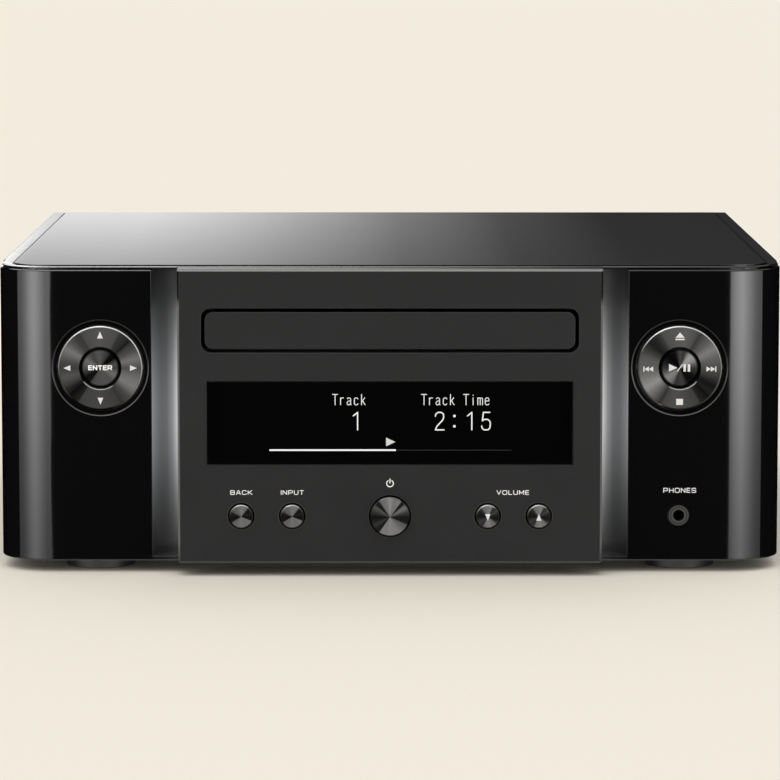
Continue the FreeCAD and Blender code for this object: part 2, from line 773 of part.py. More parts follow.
def wing_plan(inset, z):
    """The right wing's outer plan, moved inwards by an inset, closed behind the cove."""
    cove = (COVE_X, 0)
    cove_radius = COVE_R + inset
    reach = math.sqrt(cove_radius ** 2 - inset ** 2)
    corner = (HALF - CORNER_R, CORNER_R)
    corner_radius = CORNER_R - inset
    tip_angle = math.degrees(math.asin(inset / cove_radius))
    points = [(COVE_X, cove_radius), (COVE_X + reach, inset), (HALF - CORNER_R, inset),
              (HALF - inset, CORNER_R), (HALF - inset, WING_WRAP), (COVE_X, WING_WRAP)]
    arcs = {0: on_arc(cove, cove_radius, (90 + tip_angle) / 2), 2: on_arc(corner, corner_radius, 315)}
    return outline(points, arcs, z)


def ring_ears():
    """Moulded ears behind the right wing that carry the gimbal's pins."""
    ears = []
    low = GIMBAL_OUTER_R + EAR_GAP
    for side in (-1, 1):
        span = sorted([RING_X + side * low, RING_X + side * (low + EAR_THICK)])
        z = (RING_Z - EAR_HALF, RING_Z + EAR_HALF)
        ears.append(block(span, (WING_WALL - OVERLAP, PIVOT_DEPTH + EAR_HALF), z))
    return ears


def wing_body():
    """The right wing before its openings: a moulded skin with a closed underside."""
    outer = wing_plan(0, (WING_LOW_Z, WING_TOP_Z))
    inner = wing_plan(WING_WALL, (WING_LOW_Z - 1, WING_TOP_Z + 1))
    back = COVE_R + WING_WALL
    skin = outer.cut(inner).cut(block((COVE_X - 1, HALF - 2 * WING_WALL), (back, WING_WRAP + 1), (0, TOP_Z)))
    tail = block((COVE_X - WING_WALL, COVE_X + 1), (COVE_R, back), (WING_LOW_Z, WING_TOP_Z))
    lip = cover_outline(HALF, 0, CORNER_R, (WING_LOW_Z, WING_LOW_Z + WING_LIP))
    lip = lip.common(block((COVE_X - WING_WALL, HALF), (0, back), (0, TOP_Z)))
    body = fuse([skin, tail, lip])
    face_z = [WING_TOP_Z, WING_LOW_Z]
    edges = []
    for e in body.Edges:
        box = e.BoundBox
        flat = box.ZLength < 0.01 and min(abs(box.ZMin - z) for z in face_z) < 0.01
        outer_edge = box.YMax < WING_Y + 0.01 or abs(box.XMax - HALF) < 0.01
        if flat and outer_edge:
            edges.append(e)
    return body.makeFillet(EDGE_R, edges)


def dish():
    """The round opening for a key, with its shallow outer step."""
    hole = pin(RING_X, RING_Z, RING_R + RING_GAP, (-1, WING_WALL + 0.01))
    step = pin(RING_X, RING_Z, DISH_R, (-1, DISH_DEPTH))
    return hole.fuse(step)


def jack_hole():
    return pin(JACK_X, JACK_Z, JACK_RING_R + SEAT_GAP, (-OVER, WING_WALL + OVER))


def plain_wing():
    """The right wing without the hole for the socket."""
    shape = fuse([wing_body()] + ring_ears())
    reach = GIMBAL_OUTER_R + EAR_GAP + EAR_THICK + PART_GAP
    bore = axle(PIVOT_DEPTH, RING_Z, PIVOT_R + PIVOT_FIT, (RING_X - reach, RING_X + reach))
    panel = spread(PANEL_HALF + PART_GAP, (PANEL_FACE, PANEL_FLANGE + PART_GAP), (0, TOP_Z))
    foot_clear = post(FOOT_X, FOOT_FRONT, FOOT_R + PART_GAP, (0, CHASSIS_Z))
    for cutter in (dish(), panel, foot_clear, bore):
        shape = shape.cut(cutter)
    return shape


def centre_panel():
    z = (PANEL_LOW_Z, PANEL_TOP_Z)
    shape = spread(PANEL_HALF, (PANEL_FACE, PANEL_FLANGE), z)
    face_edges = [e for e in shape.Edges if e.BoundBox.YMax < WING_Y + PANEL_FACE + 0.01]
    shape = shape.makeChamfer(PANEL_CHAMFER, face_edges)
    hollow = spread(PANEL_HALF + OVER, (PANEL_BACK, PANEL_FLANGE + OVER),
                    (PANEL_LOW_Z + PANEL_FLANGE, PANEL_TOP_Z - PANEL_FLANGE))
    cut_depth = (PANEL_FACE - OVER, PANEL_BACK + OVER)
    slot = round_slab((-SLOT_HALF, SLOT_HALF), cut_depth, (SLOT_LOW_Z, SLOT_HIGH_Z), SLOT_R)
    window = spread(WINDOW_HALF, cut_depth, (WINDOW_LOW_Z, WINDOW_HIGH_Z))
    holes = [hollow, slot, window, pin(0, BUTTON_Z, POWER_HOLE_R, cut_depth)]
    for x in BUTTON_X.values():
        holes.append(pin(x, BUTTON_Z, SMALL_HOLE_R, cut_depth))
    for hole in holes:
        shape = shape.cut(hole)
    return shape


def light_guide():
    """The clear bar that stands behind the panel's right edge."""
    x = (RIB_OUT, RIB_OUT + GUIDE_THICK)
    z = (FLOOR_Z + OVERLAP, PANEL_TOP_Z - PANEL_FLANGE - OVERLAP)
    return block(x, (PANEL_BACK, COVE_R - SEAT_GAP), z)


def display_window():
    gap = SEAT_GAP
    half = WINDOW_HALF - gap
    front = spread(half, (PANEL_FACE + gap, PANEL_BACK), (WINDOW_LOW_Z + gap, WINDOW_HIGH_Z - gap))
    back = spread(half + WINDOW_FLANGE, (PANEL_BACK, PANEL_BACK + WINDOW_RIM),
                  (WINDOW_LOW_Z - WINDOW_FLANGE, WINDOW_HIGH_Z + WINDOW_FLANGE))
    return front.fuse(back).removeSplitter()


def display_glass():
    start = PANEL_BACK + WINDOW_RIM + PART_GAP
    z = (WINDOW_LOW_Z + GLASS_EDGE, WINDOW_HIGH_Z - GLASS_EDGE)
    return spread(WINDOW_HALF - GLASS_MARGIN, (start, start + GLASS_THICK), z)


def display_holder():
    """The frame that carries the display glass on the front board."""
    start = PANEL_BACK + WINDOW_RIM + PART_GAP + GLASS_THICK
    half = WINDOW_HALF - GLASS_MARGIN + GLASS_EDGE
    low = WINDOW_LOW_Z + GLASS_EDGE / 2
    high = WINDOW_HIGH_Z - GLASS_EDGE / 2
    outer = spread(half, (start, FRONT_BOARD), (low, high))
    cut_depth = (start - OVER, FRONT_BOARD + OVER)
    inner = spread(half - HOLDER_WALL, cut_depth, (low + HOLDER_WALL, high - HOLDER_WALL))
    return outer.cut(inner)


def front_board_span():
    """Low and high edge of the board behind the panel."""
    return (FLOOR_Z + FRONT_BOARD_LIFT, SLOT_LOW_Z - FRONT_BOARD_DROP)


def wing_board_span():
    return (FLOOR_Z + WING_BOARD_LIFT, WING_TOP_Z - WING_BOARD_DROP)


def board_boss_places():
    """Where the front board is screwed to the frame."""
    low, high = front_board_span()
    side = FRONT_BOARD_HALF - BOARD_INSET
    return [(x, z) for x in (-side, side) for z in (low + BOARD_INSET, high - BOARD_INSET)]


def wing_board_places():
    low, high = wing_board_span()
    step = WING_BOARD_HALF - BOARD_INSET
    return [(x, z) for x in (RING_X - step, RING_X + step) for z in (low + BOARD_INSET, high - BOARD_INSET)]


def frame_solids():
    """The frame's wall, ribs, shelves, bosses and stem guides before its holes."""
    depth = (PANEL_BACK, FRAME_FACE)
    wall = spread(FRAME_HALF, (FRAME_FACE, FRAME_BACK), (FLOOR_Z, CEILING_Z))
    rib = block((RIB_IN, RIB_OUT), depth, (FLOOR_Z, PANEL_TOP_Z - PANEL_FLANGE - SEAT_GAP))
    shelf = SLOT_HIGH_Z + SHELF_ABOVE
    top = spread(RIB_OUT, depth, (shelf, shelf + SHELF_THICK))
    low = spread(RIB_OUT, depth, (FLOOR_Z, FLOOR_Z + SHELF_THICK))
    shapes = [wall, top, low] + both_sides(rib)
    for x, z in board_boss_places():
        shapes.append(pin(x, z, BOSS_R, (FRONT_BOARD_BACK, FRAME_FACE)))
    for x, z in wing_board_places():
        shapes += both_sides(pin(x, z, BOSS_R, (FRAME_BACK, WING_BOARD)))
    for x in (RING_X - PEG_X, RING_X + PEG_X):
        for z in (RING_Z - PEG_BELOW, RING_Z + PEG_ABOVE):
            shapes += both_sides(pin(x, z, BOSS_R, (WING_WALL, FRAME_FACE)))
    guide = pin(RING_X, RING_Z, STEM_R + STEM_FIT + GUIDE_WALL, (RING_BACK + HUB_GAP, FRAME_BACK))
    return fuse(shapes + both_sides(guide))


def front_frame():
    cut_depth = (FRAME_FACE - OVER, FRAME_BACK + OVER)
    holes = [spread(RIB_IN, cut_depth, (GEAR_LOW_Z - OVER, SLOT_HIGH_Z + SHELF_ABOVE / 2))]
    holes.append(spread(WINDOW_HALF - FRAME_WINDOW_SET_IN, cut_depth, (WINDOW_LOW_Z, WINDOW_HIGH_Z)))
    holes += both_sides(pin(RING_X, RING_Z, STEM_R + STEM_FIT, (RING_BACK, FRAME_BACK + OVER)))
    for dx, dz in contact_places():
        holes += both_sides(pin(RING_X + dx, RING_Z + dz, KEY_POST_R + KEY_POST_FIT, cut_depth))
    side = JACK_BODY / 2 + PART_GAP
    holes.append(block((JACK_X - side, JACK_X + side), cut_depth, (JACK_Z - side, JACK_Z + side)))
    for x, z in board_boss_places():
        holes.append(pin(x, z, PILOT_R, (FRONT_BOARD, FRAME_FACE)))
    shape = frame_solids()
    for hole in holes:
        shape = shape.cut(hole)
    return shape


def contact_places():
    """The ring's four contacts, as steps from its centre."""
    return [(KEY_POST_AT, 0), (-KEY_POST_AT, 0), (0, KEY_POST_AT), (0, -KEY_POST_AT)]


# Front controls


def spun_cap(x, z, radius, face, back):
    """A round cap with a bevelled edge and a front that rises to its middle."""
    edge = face + CONE_RISE + CAP_EDGE
    body = pin(x, z, radius, (edge, back))
    bevel = taper(x, z, (radius - CAP_EDGE, radius), (face + CONE_RISE, edge))
    cone = taper(x, z, (0.4, radius - CAP_EDGE), (face, face + CONE_RISE))
    return fuse([body, bevel, cone])


def panel_button(x, cap_radius, hole_radius, proud):
    cap = spun_cap(x, BUTTON_Z, cap_radius, PANEL_FACE - proud, BUTTON_FLANGE)
    flange = pin(x, BUTTON_Z, hole_radius + FLANGE_OVER, (BUTTON_FLANGE, FLANGE_BACK))
    stem = pin(x, BUTTON_Z, STEM_R, (FLANGE_BACK, STEM_END))
    return fuse([cap, flange, stem])


def button_holder():
    """The moulded plate behind the panel that guides the five buttons."""
    z = (BUTTON_Z - HOLDER_HALF_TALL, BUTTON_Z + HOLDER_HALF_TALL)
    end = HOLDER_BACK + GUIDE_LENGTH
    centres = [0.0] + list(BUTTON_X.values())
    shapes = [spread(HOLDER_HALF, (HOLDER_FACE, HOLDER_BACK), z)]
    for x in centres:
        shapes.append(pin(x, BUTTON_Z, STEM_R + STEM_FIT + GUIDE_WALL, (HOLDER_BACK - OVERLAP, end)))
    for x in (HOLDER_LEG_X, HOLDER_HALF - HOLDER_LEG):
        leg = block((x - HOLDER_LEG / 2, x + HOLDER_LEG / 2), (PANEL_BACK, HOLDER_FACE + OVERLAP), z)
        shapes += both_sides(leg)
    shape = fuse(shapes)
    for x in centres:
        shape = shape.cut(pin(x, BUTTON_Z, STEM_R + STEM_FIT, (HOLDER_FACE - OVER, end + OVER)))
    return shape


def tact_switch(x, z, board):
    side = SWITCH_SIDE / 2
    body = block((x - side, x + side), (board - SWITCH_BODY, board), (z - side, z + side))
    plunger = pin(x, z, PLUNGER_R, (board - SWITCH_TALL, board - SWITCH_BODY))
    return body.fuse(plunger)


def tact_switches():
    switches = []
    for x in [0.0] + list(BUTTON_X.values()):
        switches.append(tact_switch(x, BUTTON_Z, FRONT_BOARD))
    for dx, dz in [(0, 0)] + contact_places():
        switches += both_sides(tact_switch(RING_X + dx, RING_Z + dz, WING_BOARD))
    return switches


def board_with_holes(board, places, depth):
    for x, z in places:
        board = board.cut(pin(x, z, SCREW_HOLE_R, (depth - OVER, depth + BOARD + OVER)))
    return board


def front_board():
    board = spread(FRONT_BOARD_HALF, (FRONT_BOARD, FRONT_BOARD_BACK), front_board_span())
    return board_with_holes(board, board_boss_places(), FRONT_BOARD)


def wing_boards():
    x = (RING_X - WING_BOARD_HALF, RING_X + WING_BOARD_HALF)
    board = block(x, (WING_BOARD, WING_BOARD + BOARD), wing_board_span())
    return both_sides(board_with_holes(board, wing_board_places(), WING_BOARD))


def key_ring():
    """The right four-way ring with its hub, pivot pins and contact posts."""
    face_back = RING_FACE + RING_THICK
    bevel_end = RING_FACE + RING_CHAMFER
    plate = pin(RING_X, RING_Z, RING_R, (bevel_end, face_back))
    bevel = taper(RING_X, RING_Z, (RING_R - RING_CHAMFER, RING_R), (RING_FACE, bevel_end))
    hub = pin(RING_X, RING_Z, HUB_R, (face_back, RING_BACK))
    shape = fuse([plate, bevel, hub])
    shape = shape.cut(pin(RING_X, RING_Z, RING_BORE_R, (RING_FACE - OVER, RING_BACK + OVER)))
    shape = shape.cut(pin(RING_X, RING_Z, HUB_BORE_R, (face_back, RING_BACK + OVER)))
    shapes = [shape]
    for span in pivot_spans(RING_Z, HUB_R - OVER, GIMBAL_OUTER_R):
        shapes.append(post(RING_X, PIVOT_DEPTH, PIVOT_R, span))
    reach = WING_SWITCH - PLUNGER_GAP - KEY_POST_AT * math.tan(TILT)
    for dx, dz in contact_places():
        shapes.append(pin(RING_X + dx, RING_Z + dz, KEY_POST_R, (RING_BACK - OVERLAP, reach)))
    return fuse(shapes)


def pivot_spans(centre, inner, outer):
    """Low and high ends of the two pins that stand out on opposite sides."""
    return [(centre - outer, centre - inner), (centre + inner, centre + outer)]


def key_gimbal():
    """The right gimbal: it tilts in the wing's ears and carries the ring."""
    depth = (PIVOT_DEPTH - GIMBAL_THICK / 2, PIVOT_DEPTH + GIMBAL_THICK / 2)
    shape = tube(RING_X, RING_Z, (GIMBAL_INNER_R, GIMBAL_OUTER_R), depth)
    for span in pivot_spans(RING_Z, GIMBAL_INNER_R - OVER, GIMBAL_OUTER_R + OVER):
        shape = shape.cut(post(RING_X, PIVOT_DEPTH, PIVOT_R + PIVOT_FIT, span))
    end = GIMBAL_OUTER_R + EAR_GAP + EAR_THICK
    shapes = [shape]
    for span in pivot_spans(RING_X, GIMBAL_OUTER_R - OVERLAP, end):
        shapes.append(axle(PIVOT_DEPTH, RING_Z, PIVOT_R, span))
    return fuse(shapes)


def centre_button():
    """The right wing's middle button, with its stem and the collar that keeps it in."""
    cap_back = RING_FACE + RING_THICK - OVER
    collar_start = FRAME_BACK + PART_GAP
    cap = spun_cap(RING_X, RING_Z, CENTRE_CAP_R, -CENTRE_PROUD, cap_back)
    stem = pin(RING_X, RING_Z, STEM_R, (cap_back, WING_SWITCH - PLUNGER_GAP - PRESS))
    collar = pin(RING_X, RING_Z, STEM_R + COLLAR_OVER, (collar_start, collar_start + COLLAR_THICK))
    return fuse([cap, stem, collar])


def phones_jack():
    """The socket's ring in the wing and its block on the right wing board."""
    side = JACK_BODY / 2
    face = FRAME_FACE / 2
    ring = pin(JACK_X, JACK_Z, JACK_RING_R, (-JACK_PROUD, face + OVERLAP))
    body = block((JACK_X - side, JACK_X + side), (face, WING_BOARD), (JACK_Z - side, JACK_Z + side))
    bore = pin(JACK_X, JACK_Z, JACK_BORE_R, (-JACK_PROUD - OVER, WING_BOARD - JACK_END))
    return fuse([ring, body]).cut(bore)


# Disc loader


def gear_outline(teeth):
    """Points round an involute gear whose first tooth points along +X."""
    pitch = MODULE * teeth / 2
    base = pitch * math.cos(math.radians(PRESSURE_DEG))
    tip = pitch + ADDENDUM * MODULE
    root = pitch - DEDENDUM * MODULE
    thick = math.pi * MODULE / 2 - BACKLASH / 2
    involute = math.tan(math.radians(PRESSURE_DEG)) - math.radians(PRESSURE_DEG)
    start = max(base, root)
    flank = []
    steps = 5
    for i in range(steps + 1):
        radius = start + (tip - start) * i / steps
        angle = math.acos(min(1.0, base / radius))
        half = thick / (2 * pitch) + involute - (math.tan(angle) - angle)
        flank.append((radius, half))
    flank.insert(0, (root, flank[0][1] + 0.01))
    points = []
    for tooth in range(teeth):
        middle = 2 * math.pi * tooth / teeth
        for radius, half in flank:
            points.append((radius, middle - half))
        for radius, half in reversed(flank):
            points.append((radius, middle + half))
    return points


def gear(x, depth, teeth, turn_deg, z):
    turn = math.radians(turn_deg)
    ring = []
    for radius, angle in gear_outline(teeth):
        place = (x + radius * math.cos(angle + turn), depth + radius * math.sin(angle + turn))
        ring.append(vec(*place, z[0]))
    wire = Part.makePolygon(ring + [ring[0]])
    return Part.Face(wire).extrude(FreeCAD.Vector(0, 0, z[1] - z[0]))


def tray_rack(z):
    """The rack under the tray, with a gap opposite the gear's first tooth."""
    pitch = math.pi * MODULE
    slope = math.tan(math.radians(PRESSURE_DEG))
    half = (pitch / 2 - BACKLASH / 2) / 2
    tip_x = RACK_X + ADDENDUM * MODULE
    root_x = RACK_X - DEDENDUM * MODULE
    back_x = root_x - OVERLAP
    shapes = [block((root_x - RACK_WIDTH, root_x), (RACK_START, TRAY_END), z)]
    first = math.ceil((RACK_START + pitch - GEAR_DEPTH) / pitch)
    last = math.floor((TRAY_END - pitch - GEAR_DEPTH) / pitch)
    tip_half = half - ADDENDUM * MODULE * slope
    root_half = half + DEDENDUM * MODULE * slope
    for i in range(first, last):
        middle = GEAR_DEPTH + (i + 0.5) * pitch
        corners = [(back_x, root_half), (root_x, root_half), (tip_x, tip_half)]
        near = [(x, middle - reach) for x, reach in corners]
        far = [(x, middle + reach) for x, reach in reversed(corners)]
        shapes.append(outline(near + far, {}, z))
    return fuse(shapes)


def disc_tray():
    floor_z = TRAY_HIGH_Z - WELL_DEEP
    over_z = (0, TRAY_HIGH_Z + OVER)
    shape = spread(TRAY_HALF, (TRAY_START, TRAY_END), (TRAY_LOW_Z, TRAY_HIGH_Z))
    well = post(0, DISC_DEPTH, WELL_R, (floor_z, TRAY_HIGH_Z + OVER))
    slot = spread(TRAY_SLOT_HALF, (DISC_DEPTH, TRAY_END + OVER), over_z)
    slot_end = post(0, DISC_DEPTH, TRAY_SLOT_HALF, over_z)
    hollow_depth = (DISC_DEPTH + WELL_R + TRAY_RIB, TRAY_END - TRAY_RIB)
    hollow_x = (TRAY_SLOT_HALF + TRAY_RIB, TRAY_HALF - TRAY_RIB)
    hollow = block(hollow_x, hollow_depth, (floor_z, TRAY_HIGH_Z + OVER))
    for cutter in [well, slot, slot_end] + both_sides(hollow):
        shape = shape.cut(cutter)
    rack = tray_rack((GEAR_LOW_Z, TRAY_LOW_Z + OVERLAP))
    return shape.fuse(rack).removeSplitter()


def tray_bezel():
    half = SLOT_HALF - DOOR_GAP
    z = (SLOT_LOW_Z + DOOR_GAP, SLOT_HIGH_Z - DOOR_GAP)
    return round_slab((-half, half), (PANEL_FACE, PANEL_FACE + DOOR_THICK), z, SLOT_R - DOOR_GAP / 2)


def tray_gear():
    wheel = gear(GEAR_X, GEAR_DEPTH, TRAY_GEAR_TEETH, 0, (GEAR_LOW_Z, GEAR_HIGH_Z))
    hub = post(GEAR_X, GEAR_DEPTH, GEAR_POST_R + GEAR_HUB, (DECK_Z + PART_GAP, GEAR_LOW_Z + OVERLAP))
    bore = post(GEAR_X, GEAR_DEPTH, GEAR_POST_R + SHAFT_FIT, (DECK_Z, GEAR_HIGH_Z + OVER))
    return fuse([wheel, hub]).cut(bore)


def pulley(x, radius, bore_radius):
    """A wheel with a groove for the belt."""
    top = PULLEY_Z + PULLEY_TALL
    wheel = post(x, GEAR_DEPTH, radius, (PULLEY_Z, top))
    groove_z = (PULLEY_Z + PULLEY_LIP, top - PULLEY_LIP)
    groove = post(x, GEAR_DEPTH, radius + OVER, groove_z).cut(post(x, GEAR_DEPTH, radius - BELT, groove_z))
    return wheel.cut(groove).cut(post(x, GEAR_DEPTH, bore_radius, (DECK_Z, top + OVER)))


def drive_pulley():
    """The belt wheel with the pinion that turns the tray gear."""
    bore_radius = GEAR_POST_R + SHAFT_FIT
    half_tooth = 180.0 / PINION_TEETH
    z = (PULLEY_Z + PULLEY_TALL - OVERLAP, GEAR_HIGH_Z)
    pinion = gear(DRIVE_X, GEAR_DEPTH, PINION_TEETH, half_tooth, z)
    pinion = pinion.cut(post(DRIVE_X, GEAR_DEPTH, bore_radius, (DECK_Z, GEAR_HIGH_Z + OVER)))
    return fuse([pulley(DRIVE_X, DRIVE_PULLEY_R, bore_radius), pinion])


def motor_pulley():
    return pulley(MOTOR_X, MOTOR_PULLEY_R, MOTOR_SHAFT_R + SHAFT_FIT)


def loading_motor():
    body = post(MOTOR_X, GEAR_DEPTH, MOTOR_R, (DECK_LOW_Z - MOTOR_TALL, DECK_LOW_Z))
    shaft = post(MOTOR_X, GEAR_DEPTH, MOTOR_SHAFT_R, (DECK_LOW_Z - OVER, PULLEY_Z + PULLEY_TALL))
    return body.fuse(shaft)


def belt_loop(extra, z):
    """The solid that a belt round both pulleys encloses."""
    big = DRIVE_PULLEY_R - BELT + extra
    small = MOTOR_PULLEY_R - BELT + extra
    drive = post(DRIVE_X, GEAR_DEPTH, big, z)
    motor = post(MOTOR_X, GEAR_DEPTH, small, z)
    lean = (big - small) / (MOTOR_X - DRIVE_X)
    rise = math.sqrt(1 - lean ** 2)
    points = []
    for x, radius, side in ((DRIVE_X, big, -1), (MOTOR_X, small, -1), (MOTOR_X, small, 1), (DRIVE_X, big, 1)):
        points.append((x + radius * lean, GEAR_DEPTH + side * radius * rise))
    return fuse([drive, motor, outline(points, {}, z)])


def loading_belt():
    middle = PULLEY_Z + PULLEY_TALL / 2
    z = (middle - BELT / 2, middle + BELT / 2)
    return belt_loop(BELT_GAP + BELT, z).cut(belt_loop(BELT_GAP, z))


def tray_guides():
    """The right wall of the loader with the ledge and the tabs that guide the tray."""
    run = (LOADER_DEPTH, LOADER_END)
    wall = block((RAIL_IN, RAIL_OUT), run, (LOADER_LOW_Z, LOADER_HIGH_Z))
    ledge_top = TRAY_LOW_Z - TRAY_RUN
    ledge = block((RAIL_IN - LEDGE, RAIL_IN), run, (ledge_top - LEDGE_THICK, ledge_top))
    tab_low = TRAY_HIGH_Z + TRAY_RUN
    shapes = [wall, ledge]
    for depth in (LOADER_DEPTH, REAR_TAB):
        x = (RAIL_IN - TAB, RAIL_IN)
        shapes.append(block(x, (depth, depth + TAB_LONG), (tab_low, tab_low + TAB_THICK)))
    return shapes


def cam_guide():
    """The apron below the deck with the groove that the lift cam slides in."""
    x = (-CAM_TRAVEL - 2 * CAM_MARGIN, CAM_TRAVEL + CAM_MARGIN)
    seat = CAM_LOW_Z - PART_GAP
    low = seat - CAM_GUIDE
    lip_start = CAM_BACK + CAM_GAP
    lip_end = lip_start + CAM_LIP
    apron = block(x, (DECK_END - CAM_GUIDE, DECK_END), (low, DECK_Z))
    guide = block(x, (DECK_END, lip_end), (low, seat))
    lip = block(x, (lip_start, lip_end), (low, seat + CAM_LIP_TALL))
    return [apron, guide, lip]


def loader_frame():
    foot_z = (LOADER_LOW_Z, LOADER_LOW_Z + FOOT_THICK)
    foot_flange = block((RAIL_OUT, FOOT_OUT), (FOOT_START, FOOT_END), foot_z)
    ear_in = TRAVERSE_HALF + HINGE_SIDE_GAP
    ear_depth = (HINGE_DEPTH - EAR_ROUND, CROSS_START + OVER)
    ear = block((ear_in, ear_in + EAR_WIDE), ear_depth, (LOADER_LOW_Z, HINGE_Z + EAR_ROUND))
    deck = spread(RAIL_IN, (LOADER_DEPTH, DECK_END), (DECK_LOW_Z, DECK_Z))
    cross = spread(RAIL_IN, (CROSS_START, LOADER_END), (LOADER_LOW_Z, LOADER_LOW_Z + CROSS_THICK))
    shapes = [deck, cross] + cam_guide()
    for shape in [foot_flange, ear] + tray_guides():
        shapes += both_sides(shape)
    for x in (GEAR_X, DRIVE_X):
        shapes.append(post(x, GEAR_DEPTH, GEAR_POST_R, (DECK_LOW_Z, GEAR_HIGH_Z)))
    hole_radius = MOTOR_SHAFT_R + MOTOR_HOLE_OVER
    motor_hole = post(MOTOR_X, GEAR_DEPTH, hole_radius, (DECK_LOW_Z - OVER, DECK_Z + OVER))
    hinge_bore = axle(HINGE_DEPTH, HINGE_Z, HINGE_R + HINGE_FIT, (-HALF, HALF))
    return fuse(shapes).cut(motor_hole).cut(hinge_bore)


def loader_brackets():
    """Two bent steel brackets that carry the loader on the chassis."""
    top = LOADER_LOW_Z
    depth = (FOOT_START + BRACKET_IN, FOOT_END - BRACKET_IN)
    web = block((FOOT_OUT - SHEET, FOOT_OUT), depth, (FLOOR_Z, top))
    shelf = block((RAIL_IN, FOOT_OUT), depth, (top - SHEET, top))
    foot_flange = block((FOOT_OUT - SHEET, BRACKET_OUT), depth, (FLOOR_Z, FLOOR_Z + SHEET))
    window_depth = (depth[0] + BRACKET_FRAME, depth[1] - BRACKET_FRAME)
    window_z = (FLOOR_Z + BRACKET_FRAME, top - BRACKET_FRAME)
    window = block((FOOT_OUT - 2 * SHEET, FOOT_OUT + SHEET), window_depth, window_z)
    return both_sides(fuse([web, shelf, foot_flange]).cut(window))


def clamp_bridge():
    depth = (DISC_DEPTH - BRIDGE_HALF_DEPTH, DISC_DEPTH + BRIDGE_HALF_DEPTH)
    top = LOADER_HIGH_Z + BRIDGE_THICK
    shapes = [spread(RAIL_OUT, depth, (LOADER_HIGH_Z, top))]
    for start in (depth[0], depth[1] - BRIDGE_THICK):
        shapes.append(spread(RAIL_OUT, (start, start + BRIDGE_THICK), (LOADER_HIGH_Z, top + BRIDGE_RIB)))
    hole = post(0, DISC_DEPTH, CLAMP_HOLE_R, (LOADER_HIGH_Z - OVER, top + OVER))
    return fuse(shapes).cut(hole)


def disc_clamper():
    disc_top = CLAMP_FACE_Z + CLAMP_DISC
    flange_low = LOADER_HIGH_Z + BRIDGE_THICK + PART_GAP
    disc = post(0, DISC_DEPTH, CLAMP_DISC_R, (CLAMP_FACE_Z, disc_top))
    neck = post(0, DISC_DEPTH, CLAMP_NECK_R, (disc_top, flange_low))
    flange = post(0, DISC_DEPTH, CLAMP_HOLE_R + CLAMP_OVER, (flange_low, flange_low + CLAMP_FLANGE))
    recess = post(0, DISC_DEPTH, HUB_CONE_R + OVER, (CLAMP_FACE_Z - OVER, SEAT_Z + HUB_CONE_TALL + OVER))
    return fuse([disc, neck, flange]).cut(recess)


def traverse_posts():
    """The posts that hold the two rods and the lead screw."""
    top = ROD_Z + ROD_R + ROD_POST_ABOVE / 2
    shapes = []
    for x in (-ROD_X, ROD_X, SCREW_X):
        for start in (ROD_START, ROD_END - ROD_POST):
            span = (x - ROD_POST_HALF, x + ROD_POST_HALF)
            shapes.append(block(span, (start, start + ROD_POST), (TRAVERSE_LOW_Z, top)))
    return shapes


def traverse_frame():
    z = (TRAVERSE_LOW_Z, TRAVERSE_Z)
    cut_z = (TRAVERSE_LOW_Z - OVER, TRAVERSE_Z + OVER)
    rod_depth = (ROD_START - OVER, ROD_END + OVER)
    plate = spread(TRAVERSE_HALF, (TRAVERSE_START, TRAVERSE_END), z)
    window_depth = (LENS_DEPTH - SLED_HALF_DEPTH - OVER, ROD_END - ROD_POST - OVER)
    window = block((SCREW_X - TRAVERSE_EDGE, ROD_X + TRAVERSE_EDGE), window_depth, cut_z)
    hinge_depth = (TRAVERSE_END - LIFT_LUG, HINGE_DEPTH + HINGE_BLOCK)
    hinge_z = (TRAVERSE_LOW_Z, HINGE_Z + HINGE_BLOCK)
    hinge_block = block((TRAVERSE_HALF - LIFT_LUG, TRAVERSE_HALF), hinge_depth, hinge_z)
    pin_x = (TRAVERSE_HALF - OVER, TRAVERSE_HALF + HINGE_SIDE_GAP + EAR_WIDE)
    hinge_pin = axle(HINGE_DEPTH, HINGE_Z, HINGE_R, pin_x)
    lug_back = TRAVERSE_START + LIFT_LUG_THICK
    lug = spread(LIFT_LUG, (TRAVERSE_START, lug_back), (TRAVERSE_LOW_Z, LIFT_PIN_Z + LIFT_PIN_R + OVER))
    lift_pin = pin(0, LIFT_PIN_Z, LIFT_PIN_R, (CAM_FACE - PART_GAP, TRAVERSE_START + OVER))
    shapes = [plate.cut(window), lug, lift_pin] + traverse_posts()
    shape = fuse(shapes + both_sides(hinge_block) + both_sides(hinge_pin))
    for x in (-ROD_X, ROD_X):
        shape = shape.cut(pin(x, ROD_Z, ROD_R + SEAT_GAP / 2, rod_depth))
    shape = shape.cut(pin(SCREW_X, ROD_Z, LEAD_R + ROD_FIT, rod_depth))
    return shape.cut(post(0, DISC_DEPTH, TURN_HUB_R + OVER, cut_z))


def traverse_motors():
    """The spindle motor under the frame and the small motor that turns the lead screw."""
    low = TRAVERSE_LOW_Z - SPINDLE_MOTOR_TALL
    spindle = post(0, DISC_DEPTH, SPINDLE_MOTOR_R, (low, TRAVERSE_LOW_Z))
    shaft = post(0, DISC_DEPTH, SPINDLE_R, (TRAVERSE_LOW_Z - OVER, SEAT_Z))
    sled = pin(SCREW_X, ROD_Z, SLED_MOTOR_R, (ROD_END, ROD_END + SLED_MOTOR_LONG))
    socket = pin(SCREW_X, ROD_Z, LEAD_R + ROD_FIT, (ROD_END - OVER, ROD_END + LEAD_END + OVERLAP))
    return [spindle.fuse(shaft), sled.cut(socket)]


